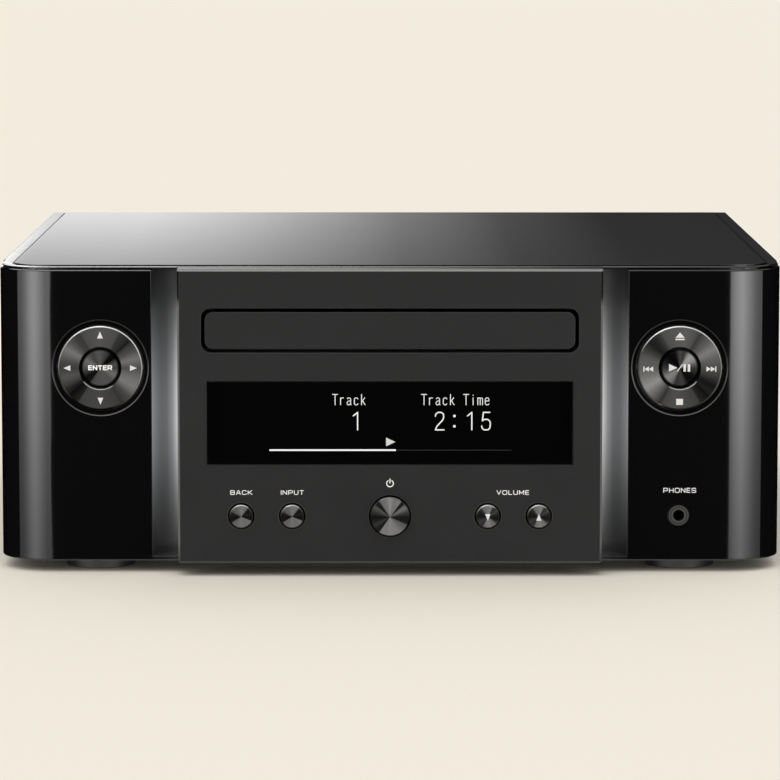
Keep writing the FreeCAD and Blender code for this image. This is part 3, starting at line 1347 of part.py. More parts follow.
def turntable():
    hub = post(0, DISC_DEPTH, TURN_HUB_R, (TRAVERSE_LOW_Z + PART_GAP, SEAT_Z - PLATTER))
    platter = post(0, DISC_DEPTH, TURNTABLE_R, (SEAT_Z - PLATTER, SEAT_Z))
    place = vec(0, DISC_DEPTH, SEAT_Z)
    cone = Part.makeCone(HUB_CONE_R, HUB_CONE_R - HUB_CONE_SLOPE, HUB_CONE_TALL, place)
    bore = post(0, DISC_DEPTH, SPINDLE_R + SPINDLE_FIT, (TRAVERSE_LOW_Z, SEAT_Z + PART_GAP))
    return fuse([hub, platter, cone]).cut(bore)


def pickup_sled():
    """The carriage that runs on the rods, with its raised head and lens."""
    depth = (LENS_DEPTH - SLED_HALF_DEPTH, LENS_DEPTH + SLED_HALF_DEPTH)
    cut_depth = (depth[0] - OVER, depth[1] + OVER)
    z = (ROD_Z - SLED_TALL / 2, ROD_Z + SLED_TALL / 2)
    body = block((SCREW_X - SLED_EDGE, ROD_X + SLED_EDGE), depth, z)
    head_depth = (LENS_DEPTH - LENS_R - OVER, LENS_DEPTH + LENS_R + LENS_TALL)
    head = spread(HEAD_HALF, head_depth, (z[1] - OVERLAP, LENS_TOP_Z - LENS_TALL + OVERLAP))
    lens = post(0, LENS_DEPTH, LENS_R, (LENS_TOP_Z - LENS_TALL, LENS_TOP_Z))
    shape = fuse([body, head, lens])
    for x in (-ROD_X, ROD_X):
        shape = shape.cut(pin(x, ROD_Z, ROD_R + ROD_FIT, cut_depth))
    return shape.cut(pin(SCREW_X, ROD_Z, LEAD_R + PART_GAP, cut_depth))


def guide_rods():
    return [pin(x, ROD_Z, ROD_R, (ROD_START, ROD_END)) for x in (-ROD_X, ROD_X)]


def lead_screw():
    return pin(SCREW_X, ROD_Z, LEAD_R, (ROD_START, ROD_END + LEAD_END))


def lift_cam():
    """The sliding plate whose slanted slot lowers the traverse."""
    cut_depth = (CAM_FACE - OVER, CAM_BACK + OVER)
    x_span = (-CAM_TRAVEL - CAM_MARGIN, CAM_MARGIN)
    shape = block(x_span, (CAM_FACE, CAM_BACK), (CAM_LOW_Z, CAM_HIGH_Z))
    arm = HINGE_DEPTH - (CAM_FACE + CAM_BACK) / 2
    drop = arm * math.sin(math.radians(TILT_DROP_DEG))
    half = LIFT_PIN_R + CAM_GAP
    length = math.hypot(CAM_TRAVEL, drop)
    across = (half * drop / length, half * CAM_TRAVEL / length)
    ends = [(0, LIFT_PIN_Z), (-CAM_TRAVEL, LIFT_PIN_Z - drop)]
    corners = []
    for (x, z), sign in ((ends[0], 1), (ends[0], -1), (ends[1], -1), (ends[1], 1)):
        corners.append(vec(x - sign * across[0], cut_depth[0], z + sign * across[1]))
    face = Part.Face(Part.makePolygon(corners + [corners[0]]))
    shape = shape.cut(face.extrude(FreeCAD.Vector(0, cut_depth[1] - cut_depth[0], 0)))
    for x, z in ends:
        shape = shape.cut(pin(x, z, half, cut_depth))
    return shape


# Boards and what stands on them


def standoffs():
    """Raised seats on the chassis floor that carry the boards."""
    main_x = MAIN_HALF - SEAT_IN_MAIN
    main_depths = (MAIN_START + SEAT_IN_MAIN, (MAIN_START + MAIN_END) / 2, MAIN_END - SEAT_IN_MAIN)
    places = [(x, depth) for x in (-main_x, main_x) for depth in main_depths]
    for depth in (SIDE_BOARD_START + SEAT_IN_SIDE, SIDE_BOARD_END - SEAT_IN_SIDE):
        for x in (SIDE_BOARD_IN + SEAT_IN_SIDE, SIDE_BOARD_OUT - SEAT_IN_SIDE):
            places += [(x, depth), (-x, depth)]
    return [post(x, depth, BOSS_R, (CHASSIS_Z, BOARD_Z)) for x, depth in places]


def main_board():
    return spread(MAIN_HALF, (MAIN_START, MAIN_END), (BOARD_Z, BOARD_TOP))


def brick(x, depth, half_size, tall):
    """A block on the boards' top side, centred at its place."""
    half_wide, half_deep = half_size
    top = BOARD_TOP + tall
    return block((x - half_wide, x + half_wide), (depth - half_deep, depth + half_deep), (BOARD_TOP, top))


def can(x, depth, radius, tall):
    return post(x, depth, radius, (BOARD_TOP, BOARD_TOP + tall))


def main_parts():
    """Chips, coils, capacitors and a connector on the main board."""
    def along(share):
        return MAIN_START + share * (MAIN_END - MAIN_START)

    chip = (CHIP_SIDE / 2, CHIP_SIDE / 2)
    small_chip = (SMALL_CHIP_SIDE / 2, SMALL_CHIP_SIDE / 2)
    parts = [brick(-PART_PITCH / 4, along(0.32), chip, CHIP_TALL)]
    parts.append(brick(2 * PART_PITCH, along(0.34), small_chip, CHIP_TALL))
    parts.append(brick(-3 * PART_PITCH, along(0.55), small_chip, CHIP_TALL))
    parts.append(brick(0, along(0.042), (PLUG_HALF, PLUG_DEEP / 2), PLUG_TALL))
    for i in range(4):
        parts.append(can((i - 3.4) * PART_PITCH, along(0.755), SMALL_CAN_R, SMALL_CAN_TALL))
    for i in range(3):
        x = (i + 1.6) * PART_PITCH
        parts.append(brick(x, along(0.66), (COIL_SIDE / 2, COIL_SIDE / 2), COIL_TALL))
    return parts


def side_board():
    """The right side's board; the left one is its mirror image."""
    return block((SIDE_BOARD_IN, SIDE_BOARD_OUT), (SIDE_BOARD_START, SIDE_BOARD_END), (BOARD_Z, BOARD_TOP))


def beside(share):
    """A place along the side boards."""
    return SIDE_BOARD_START + share * (SIDE_BOARD_END - SIDE_BOARD_START)


def power_parts():
    """The transformer with its bobbin, four large capacitors, a fuse and a filter."""
    x = SIDE_BOARD_X
    middle = beside(0.37)
    leg_z = (BOARD_TOP + CORE_LEG, BOARD_TOP + CORE_TALL - CORE_LEG)
    hole_half = CORE_HALF - CORE_LEG + OVER
    bobbin_half = hole_half - PART_GAP
    reach = CORE_LONG / 2 + BOBBIN_OVER
    core = brick(x, middle, (CORE_HALF, CORE_LONG / 2), CORE_TALL)
    core = core.cut(block((x - hole_half, x + hole_half), (middle - reach, middle + reach), leg_z))
    bobbin = block((x - bobbin_half, x + bobbin_half), (middle - reach, middle + reach),
                   (leg_z[0] + PART_GAP, leg_z[1] - PART_GAP))
    parts = [core, bobbin]
    for share in (0.617, 0.745):
        for can_x in (x - BIG_CAN_X, x + BIG_CAN_X):
            parts.append(can(can_x, beside(share), BIG_CAN_R, BIG_CAN_TALL))
    parts.append(brick(x, beside(0.13), (FUSE_HALF, FUSE_DEEP / 2), FUSE_TALL))
    parts.append(brick(x, beside(0.904), (FILTER_HALF, FILTER_DEEP / 2), FILTER_TALL))
    return [mirrored(part) for part in parts]


def heat_sink():
    """The finned block on the amplifier board."""
    x = (SIDE_BOARD_X - SINK_HALF, SIDE_BOARD_X + SINK_HALF)
    middle = beside(SINK_SHARE)
    depth = (middle - SINK_LONG / 2, middle + SINK_LONG / 2)
    low = BOARD_TOP + SINK_LIFT
    shapes = [block((x[0], x[0] + SINK_BASE), depth, (BOARD_TOP, low + SINK_TALL))]
    step = (SINK_TALL - FIN_THICK) / (FIN_COUNT - 1)
    for i in range(FIN_COUNT):
        z = low + i * step
        shapes.append(block((x[0] + SINK_BASE - OVERLAP, x[1]), depth, (z, z + FIN_THICK)))
    return fuse(shapes)


def amp_parts():
    """Three power chips against the heat sink, four capacitors and two coils."""
    chip_x = SIDE_BOARD_X - SINK_HALF - CHIP_THICK / 2
    chip = (CHIP_THICK / 2, POWER_CHIP_WIDE / 2)
    parts = []
    for i in (-1, 0, 1):
        parts.append(brick(chip_x, beside(SINK_SHARE) + i * POWER_CHIP_PITCH, chip, POWER_CHIP_TALL))
    for share in (0.107, 0.19):
        for x in (SIDE_BOARD_X - AMP_CAN_X, SIDE_BOARD_X + AMP_CAN_X):
            parts.append(can(x, beside(share), AMP_CAN_R, AMP_CAN_TALL))
    for share in (0.877, 0.952):
        parts.append(brick(SIDE_BOARD_X, beside(share), (OUTPUT_HALF, OUTPUT_SIDE / 2), OUTPUT_SIDE))
    return parts


# Rear connections


def socket_barrel(x, z, radius, reach):
    """A boss that fills the panel's hole, and the barrel that a plug's collar grips."""
    boss = pin(x, z, radius + SOCKET_BOSS_OVER, (REAR_IN - OVER, BODY_DEPTH + SOCKET_BOSS_PROUD))
    return boss.fuse(pin(x, z, radius, (REAR_IN, BODY_DEPTH + reach)))


def socket_bore(x, z, radius, reach):
    return pin(x, z, radius, (REAR_IN - SOCKET_BORE_PAST, BODY_DEPTH + reach + OVER))


def tuner_module():
    """A screened box behind the rear panel with its coaxial antenna socket."""
    box = block((ANTENNA_X - TUNER_HALF, ANTENNA_X + TUNER_HALF), (REAR_IN - TUNER_DEEP, REAR_IN),
                (ANTENNA_Z - TUNER_BELOW, ANTENNA_Z + TUNER_ABOVE))
    barrel = socket_barrel(ANTENNA_X, ANTENNA_Z, ANTENNA_R, ANTENNA_REACH)
    return fuse([box, barrel]).cut(socket_bore(ANTENNA_X, ANTENNA_Z, ANTENNA_BORE_R, ANTENNA_REACH))


def line_socket(x, z):
    """A round line socket on a block behind the rear panel."""
    body = block((x - SOCKET_HALF, x + SOCKET_HALF), (REAR_IN - SOCKET_DEEP, REAR_IN),
                 (z - SOCKET_HALF, z + SOCKET_HALF))
    return fuse([body, socket_barrel(x, z, RCA_R, RCA_REACH)]).cut(socket_bore(x, z, RCA_BORE_R, RCA_REACH))


def speaker_terminal_block():
    x = (POST_X[0] - POST_MARGIN, POST_X[-1] + POST_MARGIN)
    end = BODY_DEPTH + TERMINAL_THICK
    plate = block(x, (BODY_DEPTH, end), (POST_Z - POST_MARGIN, POST_Z + POST_MARGIN))
    for post_x in POST_X:
        plate = plate.cut(pin(post_x, POST_Z, POST_STUD_R + SEAT_GAP, (BODY_DEPTH - OVER, end + OVER)))
    return plate


def speaker_posts():
    """Metal studs, each with its nut behind the panel."""
    posts = []
    end = BODY_DEPTH + POST_REACH - POST_SHORT
    for x in POST_X:
        stud = pin(x, POST_Z, POST_STUD_R, (REAR_IN - POST_INSIDE, end))
        nut = pin(x, POST_Z, POST_STUD_R + NUT_OVER, (REAR_IN - NUT_THICK, REAR_IN))
        bore = pin(x, POST_Z, POST_BORE_R, (end - POST_BORE_DEEP, end + OVER))
        posts.append(stud.fuse(nut).cut(bore))
    return posts


def speaker_cap(x):
    """A fluted cap that turns on its stud."""
    start = BODY_DEPTH + TERMINAL_THICK + PART_GAP
    end = BODY_DEPTH + POST_REACH
    flutes = []
    for i in range(FLUTES):
        px, pz = on_arc((x, POST_Z), CAP_R + FLUTE_OUT, i * 360 / FLUTES)
        flutes.append(pin(px, pz, FLUTE_R, (start + FLUTE_START, end + OVER)))
    body = pin(x, POST_Z, CAP_R, (start, end)).cut(Part.makeCompound(flutes))
    return body.cut(pin(x, POST_Z, POST_STUD_R + CAP_BORE_FIT, (start - OVER, end + OVER)))


def ac_inlet():
    """A two-pole mains inlet that is let into the rear panel."""
    wide = INLET_HALF_W + INLET_WALL
    tall = INLET_HALF_H + INLET_WALL
    end = BODY_DEPTH + INLET_FLANGE_THICK
    floor = end - INLET_DEEP
    x = (INLET_X - wide, INLET_X + wide)
    z = (INLET_Z - tall, INLET_Z + tall)
    body = block(x, (floor - INLET_BACK, end), z)
    flange_x = (x[0] - INLET_FLANGE, x[1] + INLET_FLANGE)
    flange = block(flange_x, (BODY_DEPTH, end), (z[0] - INLET_FLANGE, z[1] + INLET_FLANGE))
    cavity = round_slab((INLET_X - INLET_HALF_W, INLET_X + INLET_HALF_W), (floor, end + OVER),
                        (INLET_Z - INLET_HALF_H, INLET_Z + INLET_HALF_H), INLET_R)
    shapes = [fuse([body, flange]).cut(cavity)]
    for pin_x in (INLET_X - INLET_PIN_X, INLET_X + INLET_PIN_X):
        shapes.append(pin(pin_x, INLET_Z, INLET_PIN_R, (floor - OVER, end - INLET_PIN_SHORT)))
    return fuse(shapes)


# Feet and screws


def foot(x, depth):
    low = FOOT_LOW_Z
    body = Part.makeCone(FOOT_R - FOOT_TAPER, FOOT_R, CHASSIS_Z - low, vec(x, depth, low))
    recess = post(x, depth, PAD_R + SEAT_GAP, (low - OVER, PAD_THICK))
    bore = post(x, depth, SCREW_HOLE_R, (0, CHASSIS_Z + OVER))
    head = post(x, depth, SCREW_R + HEAD_OVER + SEAT_GAP, (0, FOOT_HEAD_TOP))
    return body.cut(recess).cut(bore).cut(head)


def foot_pad(x, depth):
    return post(x, depth, PAD_R, (0, PAD_THICK))


def case_screws():
    screws = []
    head_radius = SCREW_R + HEAD_OVER
    for depth, z in side_screw_places():
        screws += both_sides(axle(depth, z, SCREW_R, (HALF - SCREW_LONG, HALF)))
    for x, z in rear_screw_places():
        shank = pin(x, z, SCREW_R, (BODY_DEPTH - SCREW_LONG, BODY_DEPTH))
        head = pin(x, z, head_radius, (BODY_DEPTH, BODY_DEPTH + HEAD_TALL))
        screws.append(shank.fuse(head))
    for x, depth in foot_places():
        shank = post(x, depth, SCREW_R, (PAD_THICK + PAD_GAP, FLOOR_Z + FOOT_SCREW_OVER))
        head = post(x, depth, head_radius, (PAD_THICK + PAD_GAP, FOOT_HEAD_TOP))
        screws.append(shank.fuse(head))
    return screws


def main():
    wing = plain_wing()
    save("bottom_chassis", bottom_chassis())
    save("top_cover", top_cover())
    save("top_plate", plate_prism(0, (PLATE_LOW_Z, TOP_Z)))
    save("rear_panel", rear_panel())
    save("front_frame", front_frame())
    save("left_wing", mirrored(wing))
    save("right_wing", wing.cut(jack_hole()))
    save("centre_panel", centre_panel())
    save("light_guides", both_sides(light_guide()))
    save("display_window", display_window())
    save("display_module", [display_glass(), display_holder()])
    save("key_boards", [front_board()] + wing_boards())
    save("tact_switches", tact_switches())
    save("button_holder", button_holder())
    for name, x in BUTTON_X.items():
        save(name + "_button", panel_button(x, SMALL_CAP_R, SMALL_HOLE_R, SMALL_PROUD))
    save("power_button", panel_button(0, POWER_CAP_R, POWER_HOLE_R, POWER_PROUD))
    save("playback_gimbal", key_gimbal())
    save("playback_ring", key_ring())
    save("play_button", centre_button())
    save("cursor_gimbal", mirrored(key_gimbal()))
    save("cursor_ring", mirrored(key_ring()))
    save("enter_button", mirrored(centre_button()))
    save("phones_jack", phones_jack())
    save("disc_tray", disc_tray())
    save("tray_bezel", tray_bezel())
    save("tray_gear", tray_gear())
    save("drive_pulley", drive_pulley())
    save("motor_pulley", motor_pulley())
    save("loading_belt", loading_belt())
    save("loading_motor", loading_motor())
    save("loader_frame", loader_frame())
    save("loader_brackets", loader_brackets())
    save("clamp_bridge", clamp_bridge())
    save("disc_clamper", disc_clamper())
    save("traverse_frame", traverse_frame())
    save("traverse_motors", traverse_motors())
    save("turntable", turntable())
    save("pickup_sled", pickup_sled())
    save("guide_rods", guide_rods())
    save("lead_screw", lead_screw())
    save("lift_cam", lift_cam())
    save("main_board", [main_board()] + main_parts())
    save("power_board", [mirrored(side_board())] + power_parts())
    save("amp_board", [side_board()] + amp_parts())
    save("heat_sink", heat_sink())
    save("tuner_module", tuner_module())
    save("line_sockets", [line_socket(x, z) for x in RCA_X for z in RCA_Z])
    save("speaker_terminal_block", speaker_terminal_block())
    save("speaker_posts", speaker_posts())
    for number, x in enumerate(POST_X, 1):
        save("speaker_cap_" + str(number), speaker_cap(x))
    save("ac_inlet", ac_inlet())
    save("feet", [foot(x, depth) for x, depth in foot_places()])
    save("foot_pads", [foot_pad(x, depth) for x, depth in foot_places()])
    save("case_screws", case_screws())


main()
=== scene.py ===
import json
import math

import bmesh
import bpy
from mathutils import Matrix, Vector


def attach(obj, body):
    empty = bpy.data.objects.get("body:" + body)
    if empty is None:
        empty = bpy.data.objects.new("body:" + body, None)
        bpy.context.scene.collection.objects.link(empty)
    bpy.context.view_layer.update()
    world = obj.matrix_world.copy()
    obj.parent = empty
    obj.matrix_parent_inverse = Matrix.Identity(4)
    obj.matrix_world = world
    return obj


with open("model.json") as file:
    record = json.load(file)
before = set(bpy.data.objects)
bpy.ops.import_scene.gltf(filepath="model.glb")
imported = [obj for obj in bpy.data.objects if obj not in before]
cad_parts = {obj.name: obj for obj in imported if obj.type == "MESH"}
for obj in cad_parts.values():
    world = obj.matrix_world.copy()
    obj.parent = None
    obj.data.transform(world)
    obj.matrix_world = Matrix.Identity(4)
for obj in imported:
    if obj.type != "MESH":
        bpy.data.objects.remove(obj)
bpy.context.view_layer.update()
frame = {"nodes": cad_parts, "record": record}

NODES = frame["nodes"]

# Places in millimetres: x to the right, depth behind the wings' faces, z up
WING_Y = -139.0
SIDE_X = 141.2
REAR = 268.0
PLATE_Z = 111.0
RIM_TOP_Z = 110.6
GROOVE_HALF = 136.9
GROOVE_R = 13.0
GROOVE_FRONT = 3.1
GROOVE_REAR = REAR - 4.5
PANEL_FACE = -10.0
PANEL_SIDE_X = 75.2
PANEL_TOP_Z = 110.5
PANEL_LOW_Z = 4.1
FLANGE_FRONT = -9.25
FLANGE_GROOVE = (-9.4, -6.4)
COVE_START = 75.6
COVE_WIDE = 10.0
LIP_Z = (7.0, 8.0)
WINDOW_FACE = -9.9
WINDOW_HALF = 65.65
WINDOW_Z = (40.4, 70.5)
RING_X = 104.0
RING_Z = 74.2
RING_FACE = -0.8
RING_R = 15.1
RING_BORE_R = 7.65
RING_EDGE = 0.6
DISH_R = 17.15
CENTRE_R = 6.525
CENTRE_FACE = -1.2
BUTTON_Z = 21.9
SMALL_X = (35.0, 53.25)
SMALL_R = 4.22
SMALL_FACE = -12.0
SMALL_GAP = 0.58
POWER_R = 7.06
POWER_FACE = -12.5
POWER_GAP = 0.42
CONE_FLAT = 0.4
CONE_RISE = 0.5
CAP_EDGE = 0.35
CAP_BEVEL_END = 0.86          # behind a cap's face
JACK_Z = 20.8
INLET_X = -109.2
INLET_Z = 30.0
INLET_PIN_X = (3.0, 5.6)      # from the inlet's middle, to either side
INLET_PIN_HALF = 1.3
INLET_PIN_END = 12.3          # inside the rear face
SOCKET_BOSS_PROUD = 0.82
SOCKET_ROWS_Z = 43.0          # between the red row and the white one
PRINT = 0.03                  # thickness of a printed word or sign
CONE_PRINT = 0.06             # the same on a cone

PAPER = (0.896, 0.838, 0.730, 1.0)


def place(x, depth, z):
    """A point in metres."""
    return Vector((x / 1000, (WING_Y + depth) / 1000, z / 1000))


def table(value, pairs):
    """A straight-line look-up."""
    if value <= pairs[0][0]:
        return pairs[0][1]
    for (x0, y0), (x1, y1) in zip(pairs, pairs[1:]):
        if value <= x1:
            return y0 + (y1 - y0) * (value - x0) / (x1 - x0)
    return pairs[-1][1]


# Materials


def grey(level):
    return (level, level, level, 1.0)


def solid(colour):
    """A colour with full alpha."""
    return tuple(colour) + (1.0,)


class Shader:
    """A material's nodes, with short calls for the kinds that are used here."""

    def __init__(self, name):
        self.material = bpy.data.materials.new(name)
        self.material.use_nodes = True
        self.tree = self.material.node_tree
        self.tree.nodes.clear()
        self.out = self.node("ShaderNodeOutputMaterial")
        self.bsdf = self.node("ShaderNodeBsdfPrincipled")
        self.link(self.bsdf.outputs["BSDF"], self.out.inputs["Surface"])
        self.coordinates = self.node("ShaderNodeTexCoord").outputs["Object"]

    def node(self, kind, **settings):
        made = self.tree.nodes.new(kind)
        for key, value in settings.items():
            setattr(made, key, value)
        return made

    def link(self, output, socket):
        self.tree.links.new(output, socket)

    def put(self, socket, value):
        """Links an output to a socket, or sets the socket's value."""
        if isinstance(value, bpy.types.NodeSocket):
            self.link(value, socket)
        else:
            socket.default_value = value

    def finish(self, name, value):
        """Links or sets one of the finish's own sockets."""
        self.put(self.bsdf.inputs[name], value)

    def current(self, name):
        """The output that is linked to one of the finish's own sockets."""
        return self.bsdf.inputs[name].links[0].from_socket

    def math(self, operation, *values):
        made = self.node("ShaderNodeMath", operation=operation)
        for i, value in enumerate(values):
            self.put(made.inputs[i], value)
        return made.outputs[0]

    def plus(self, first, second):
        return self.math("ADD", first, second)

    def minus(self, first, second):
        return self.math("SUBTRACT", first, second)

    def times(self, product, *others):
        for other in others:
            product = self.math("MULTIPLY", product, other)
        return product

    def vector(self, operation, *values):
        made = self.node("ShaderNodeVectorMath", operation=operation)
        for i, value in enumerate(values):
            self.put(made.inputs[i], value)
        return made

    def scaled(self, vector, scale):
        made = self.vector("SCALE", vector)
        self.put(made.inputs["Scale"], scale)
        return made.outputs[0]

    def axes(self, x=0.0, z=0.0):
        """Millimetres from a place: x, depth behind the wings' faces, z."""
        moved = self.vector("MULTIPLY_ADD", self.coordinates, (1000, 1000, 1000), (-x, -WING_Y, -z))
        parts = self.node("ShaderNodeSeparateXYZ")
        self.link(moved.outputs[0], parts.inputs[0])
        return parts.outputs

    def noise(self, size_mm, stretch=None, detail=3.0, rough=0.55):
        made = self.node("ShaderNodeTexNoise")
        spot = self.coordinates
        if stretch:
            spot = self.vector("MULTIPLY", spot, stretch).outputs[0]
        self.link(spot, made.inputs["Vector"])
        made.inputs["Scale"].default_value = 1000 / size_mm
        made.inputs["Detail"].default_value = detail
        made.inputs["Roughness"].default_value = rough
        return made.outputs["Fac"]

    def remap(self, value, low, high, to_low=0.0, to_high=1.0):
        made = self.node("ShaderNodeMapRange")
        ends = {"From Min": low, "From Max": high, "To Min": to_low, "To Max": to_high}
        for key, number in ends.items():
            self.put(made.inputs[key], number)
        self.link(value, made.inputs["Value"])
        return made.outputs["Result"]

    def fall(self, value, low, high):
        """1 up to the first place and 0 from the second."""
        return self.remap(value, low, high, 1.0, 0.0)

    def within(self, value, low, high, soft=0.04):
        """1 between two places and 0 elsewhere."""
        rise = self.remap(value, low - soft, low + soft)
        return self.times(rise, self.fall(value, high - soft, high + soft))

    def bell(self, value, middle, wide):
        """A soft peak of 1."""
        away = self.math("DIVIDE", self.minus(value, middle), wide)
        return self.math("EXPONENT", self.times(self.times(away, away), -1.0))

    def distance(self, dx, dz):
        return self.math("SQRT", self.plus(self.times(dx, dx), self.times(dz, dz)))

    def mix(self, factor, first, second):
        made = self.node("ShaderNodeMix", data_type="RGBA")
        self.put(made.inputs[0], factor)
        self.put(made.inputs[6], first)
        self.put(made.inputs[7], second)
        return made.outputs[2]

    def ramp(self, value, stops):
        """A grey ramp from pairs of place and level."""
        made = self.node("ShaderNodeValToRGB")
        steps = made.color_ramp.elements
        while len(steps) < len(stops):
            steps.new(0.5)
        for step, (at, level) in zip(steps, stops):
            step.position = at
            step.color = grey(level)
        self.link(value, made.inputs["Fac"])
        return made.outputs["Color"]

    def repaint(self, factor, colour):
        """Mixes a colour over the base colour."""
        self.finish("Base Color", self.mix(factor, self.current("Base Color"), colour))

    def edges(self, round_mm, edge_light_and_wear, keep=None):
        """Rounds the sharp edges in the shading, and returns the normal and a mask of the edges."""
        bevel = self.node("ShaderNodeBevel", samples=4)
        bevel.inputs["Radius"].default_value = round_mm / 1000
        geometry = self.node("ShaderNodeNewGeometry")
        same = self.vector("DOT_PRODUCT", bevel.outputs["Normal"], geometry.outputs["True Normal"])
        mask = self.remap(same.outputs["Value"], 0.995, 0.8, 0.0, edge_light_and_wear)
        if keep:
            mask = self.times(mask, keep(self))
        return bevel.outputs["Normal"], mask

    def relief(self, height, strength, deep_mm, normal=None):
        bump = self.node("ShaderNodeBump")
        bump.inputs["Strength"].default_value = strength
        bump.inputs["Distance"].default_value = deep_mm / 1000
        self.link(height, bump.inputs["Height"])
        if normal:
            self.link(normal, bump.inputs["Normal"])
        self.link(bump.outputs["Normal"], self.bsdf.inputs["Normal"])


def surface(name, base, rough, metal=0.0, specular=0.5, vary=0.12, patch_mm=25.0, grain_mm=0.6,
            stretch=None, bump_mm=0.01, round_mm=0.25, edge_light_and_wear=0.3, lit_and_worn_edge=None, keep=None):
    """A finish with patches of tone, grain in its roughness and relief, and edges painted lighter: a painted
    highlight, with wear.
    """
    shader = Shader(name)
    normal, mask = shader.edges(round_mm, edge_light_and_wear, keep)
    grain = shader.noise(grain_mm, stretch)
    patches = shader.noise(patch_mm, detail=2.0)
    tone = shader.remap(patches, 0.3, 0.7, 1.0 - vary, 1.0 + vary)
    dark = solid(0.82 * c for c in base)
    light = solid(min(1.0, 1.15 * c) for c in base)
    toned = shader.scaled(shader.mix(shader.remap(grain, 0.3, 0.7), dark, light), tone)
    lit_and_worn_edge = lit_and_worn_edge or [min(1.0, 2.2 * c + 0.01) for c in base]
    # The edges' lighter colour is a painted highlight, with wear
    shader.finish("Base Color", shader.mix(mask, toned, solid(lit_and_worn_edge)))
    spread = shader.plus(shader.times(grain, 0.6), shader.times(patches, 0.4))
    shader.finish("Roughness", shader.remap(spread, 0.35, 0.65, *rough))
    shader.finish("Metallic", metal)
    shader.bsdf.inputs["Specular IOR Level"].default_value = specular
    shader.relief(grain, 0.6, bump_mm, normal)
    return shader


def gloss(name, base, rough, specular=0.5, lit_and_worn_edge=0.02, keep=None):
    """Polished black with faint waves, fine scratches, a film of dust and a painted highlight, with wear, on
    its edges.
    """
    shader = Shader(name)
    normal, mask = shader.edges(0.35, 1.0, keep)
    waves = shader.noise(38.0, detail=1.0)
    dust = shader.noise(0.5, detail=4.0, rough=0.7)
    scratches = shader.noise(5.0, (1.0, 1.0, 30.0), detail=4.0)
    dusty = shader.mix(shader.remap(dust, 0.66, 0.8, 0.0, 0.10), solid(base), grey(0.03))
    # The edges' lighter grey is a painted highlight, with wear
    shader.finish("Base Color", shader.mix(mask, dusty, grey(lit_and_worn_edge)))
    shader.finish("Roughness", shader.remap(scratches, 0.5, 0.75, rough, rough * 2.0))
    shader.bsdf.inputs["Specular IOR Level"].default_value = specular
    shader.relief(waves, 0.25, 0.03, normal)
    return shader


def above_lip(shader):
    """0 on the wings' bottom edge, which shows no light."""
    return shader.remap(shader.axes()[2], *LIP_Z)


# The painted highlight round the keys' dishes: its width, and its level from the bottom to the top
DISH_LINE = 0.28
DISH_LIGHT = ((0.0, 0.15), (0.35, 0.085), (0.6, 0.04), (1.0, 0.03))

# The coves' painted light, an emission of the wings, from the panel outwards: the glow, which is strongest at
# COVE_Z, the guides' line and a level under both
COVE_Z = 58.0
COVE_REACH = 30.0
COVE_LOW_Z = (7.0, 13.0)
COVE_HIGH_Z = (95.0, 100.0)
COVE_DIM_Z = (94.0, 101.0)    # where the glow drops to COVE_DIM
COVE_DIM = 0.3
COVE_BACK = (10.5, 11.5)
COVE_ROUGH = 0.3
COVE_GLOW = ((0.0, 0.95), (0.06, 0.76), (0.12, 0.53), (0.3, 0.215), (0.5, 0.092), (0.68, 0.083),
             (0.8, 0.092), (0.88, 0.11), (0.95, 0.145), (0.995, 0.20), (1.0, 0.0))
COVE_LINE = ((0.0, 0.10), (0.08, 0.08), (0.16, 0.004), (0.3, 0.0))
COVE_FLOOR = ((0.0, 0.02), (0.25, 0.018), (0.5, 0.011), (0.9, 0.006), (0.995, 0.006), (1.0, 0.0))


def wing_gloss():
    """The wings' black, with a painted highlight round the keys' dishes and a painted glow of the guides'
    light in the coves.
    """
    shader = gloss("polished_black", (0.0037, 0.0037, 0.0039), 0.012, lit_and_worn_edge=0.05, keep=above_lip)
    x, depth, z = shader.axes()
    side = shader.math("ABSOLUTE", x)
    # A painted highlight round each dish's rim, brightest at the bottom
    away = shader.distance(shader.minus(side, RING_X), shader.minus(z, RING_Z))
    line = shader.times(shader.within(away, DISH_R, DISH_R + DISH_LINE), shader.fall(depth, 0.2, 0.3))
    height = shader.remap(z, RING_Z - DISH_R, RING_Z + DISH_R)
    shader.repaint(line, shader.ramp(height, DISH_LIGHT))

    cove_end = COVE_START + COVE_WIDE
    hollow = shader.times(shader.within(side, COVE_START + 0.05, cove_end - 0.1),
                          shader.remap(depth, 0.3, 0.6))
    rough = shader.math("MAXIMUM", shader.current("Roughness"), shader.times(hollow, COVE_ROUGH))
    shader.finish("Roughness", rough)

    # A painted glow of the guides' light in the coves, as emission of the wing
    across = shader.remap(side, COVE_START, cove_end)
    tall = shader.remap(shader.bell(z, COVE_Z, COVE_REACH), 0.05, 1.0)
    glow = shader.times(tall, shader.ramp(across, COVE_GLOW), shader.remap(z, *COVE_DIM_Z, 1.0, COVE_DIM))
    ends = shader.times(shader.remap(z, *COVE_LOW_Z), shader.fall(z, *COVE_HIGH_Z))
    level = shader.plus(glow, shader.times(ends, shader.ramp(across, COVE_LINE)))
    level = shader.plus(level, shader.ramp(across, COVE_FLOOR))
    shader.finish("Emission Color", (0.97, 0.98, 1.0, 1.0))
    shader.finish("Emission Strength", shader.times(level, shader.fall(depth, *COVE_BACK)))
    return shader.material


# The painted reflection along the cover's front edge, from left to right
RIM_LIGHT = ((0.0, 0.9), (0.035, 0.8), (0.06, 0.36), (0.085, 0.27), (0.25, 0.24), (0.45, 0.16), (0.6, 0.09),
             (0.75, 0.03), (1.0, 0.012))


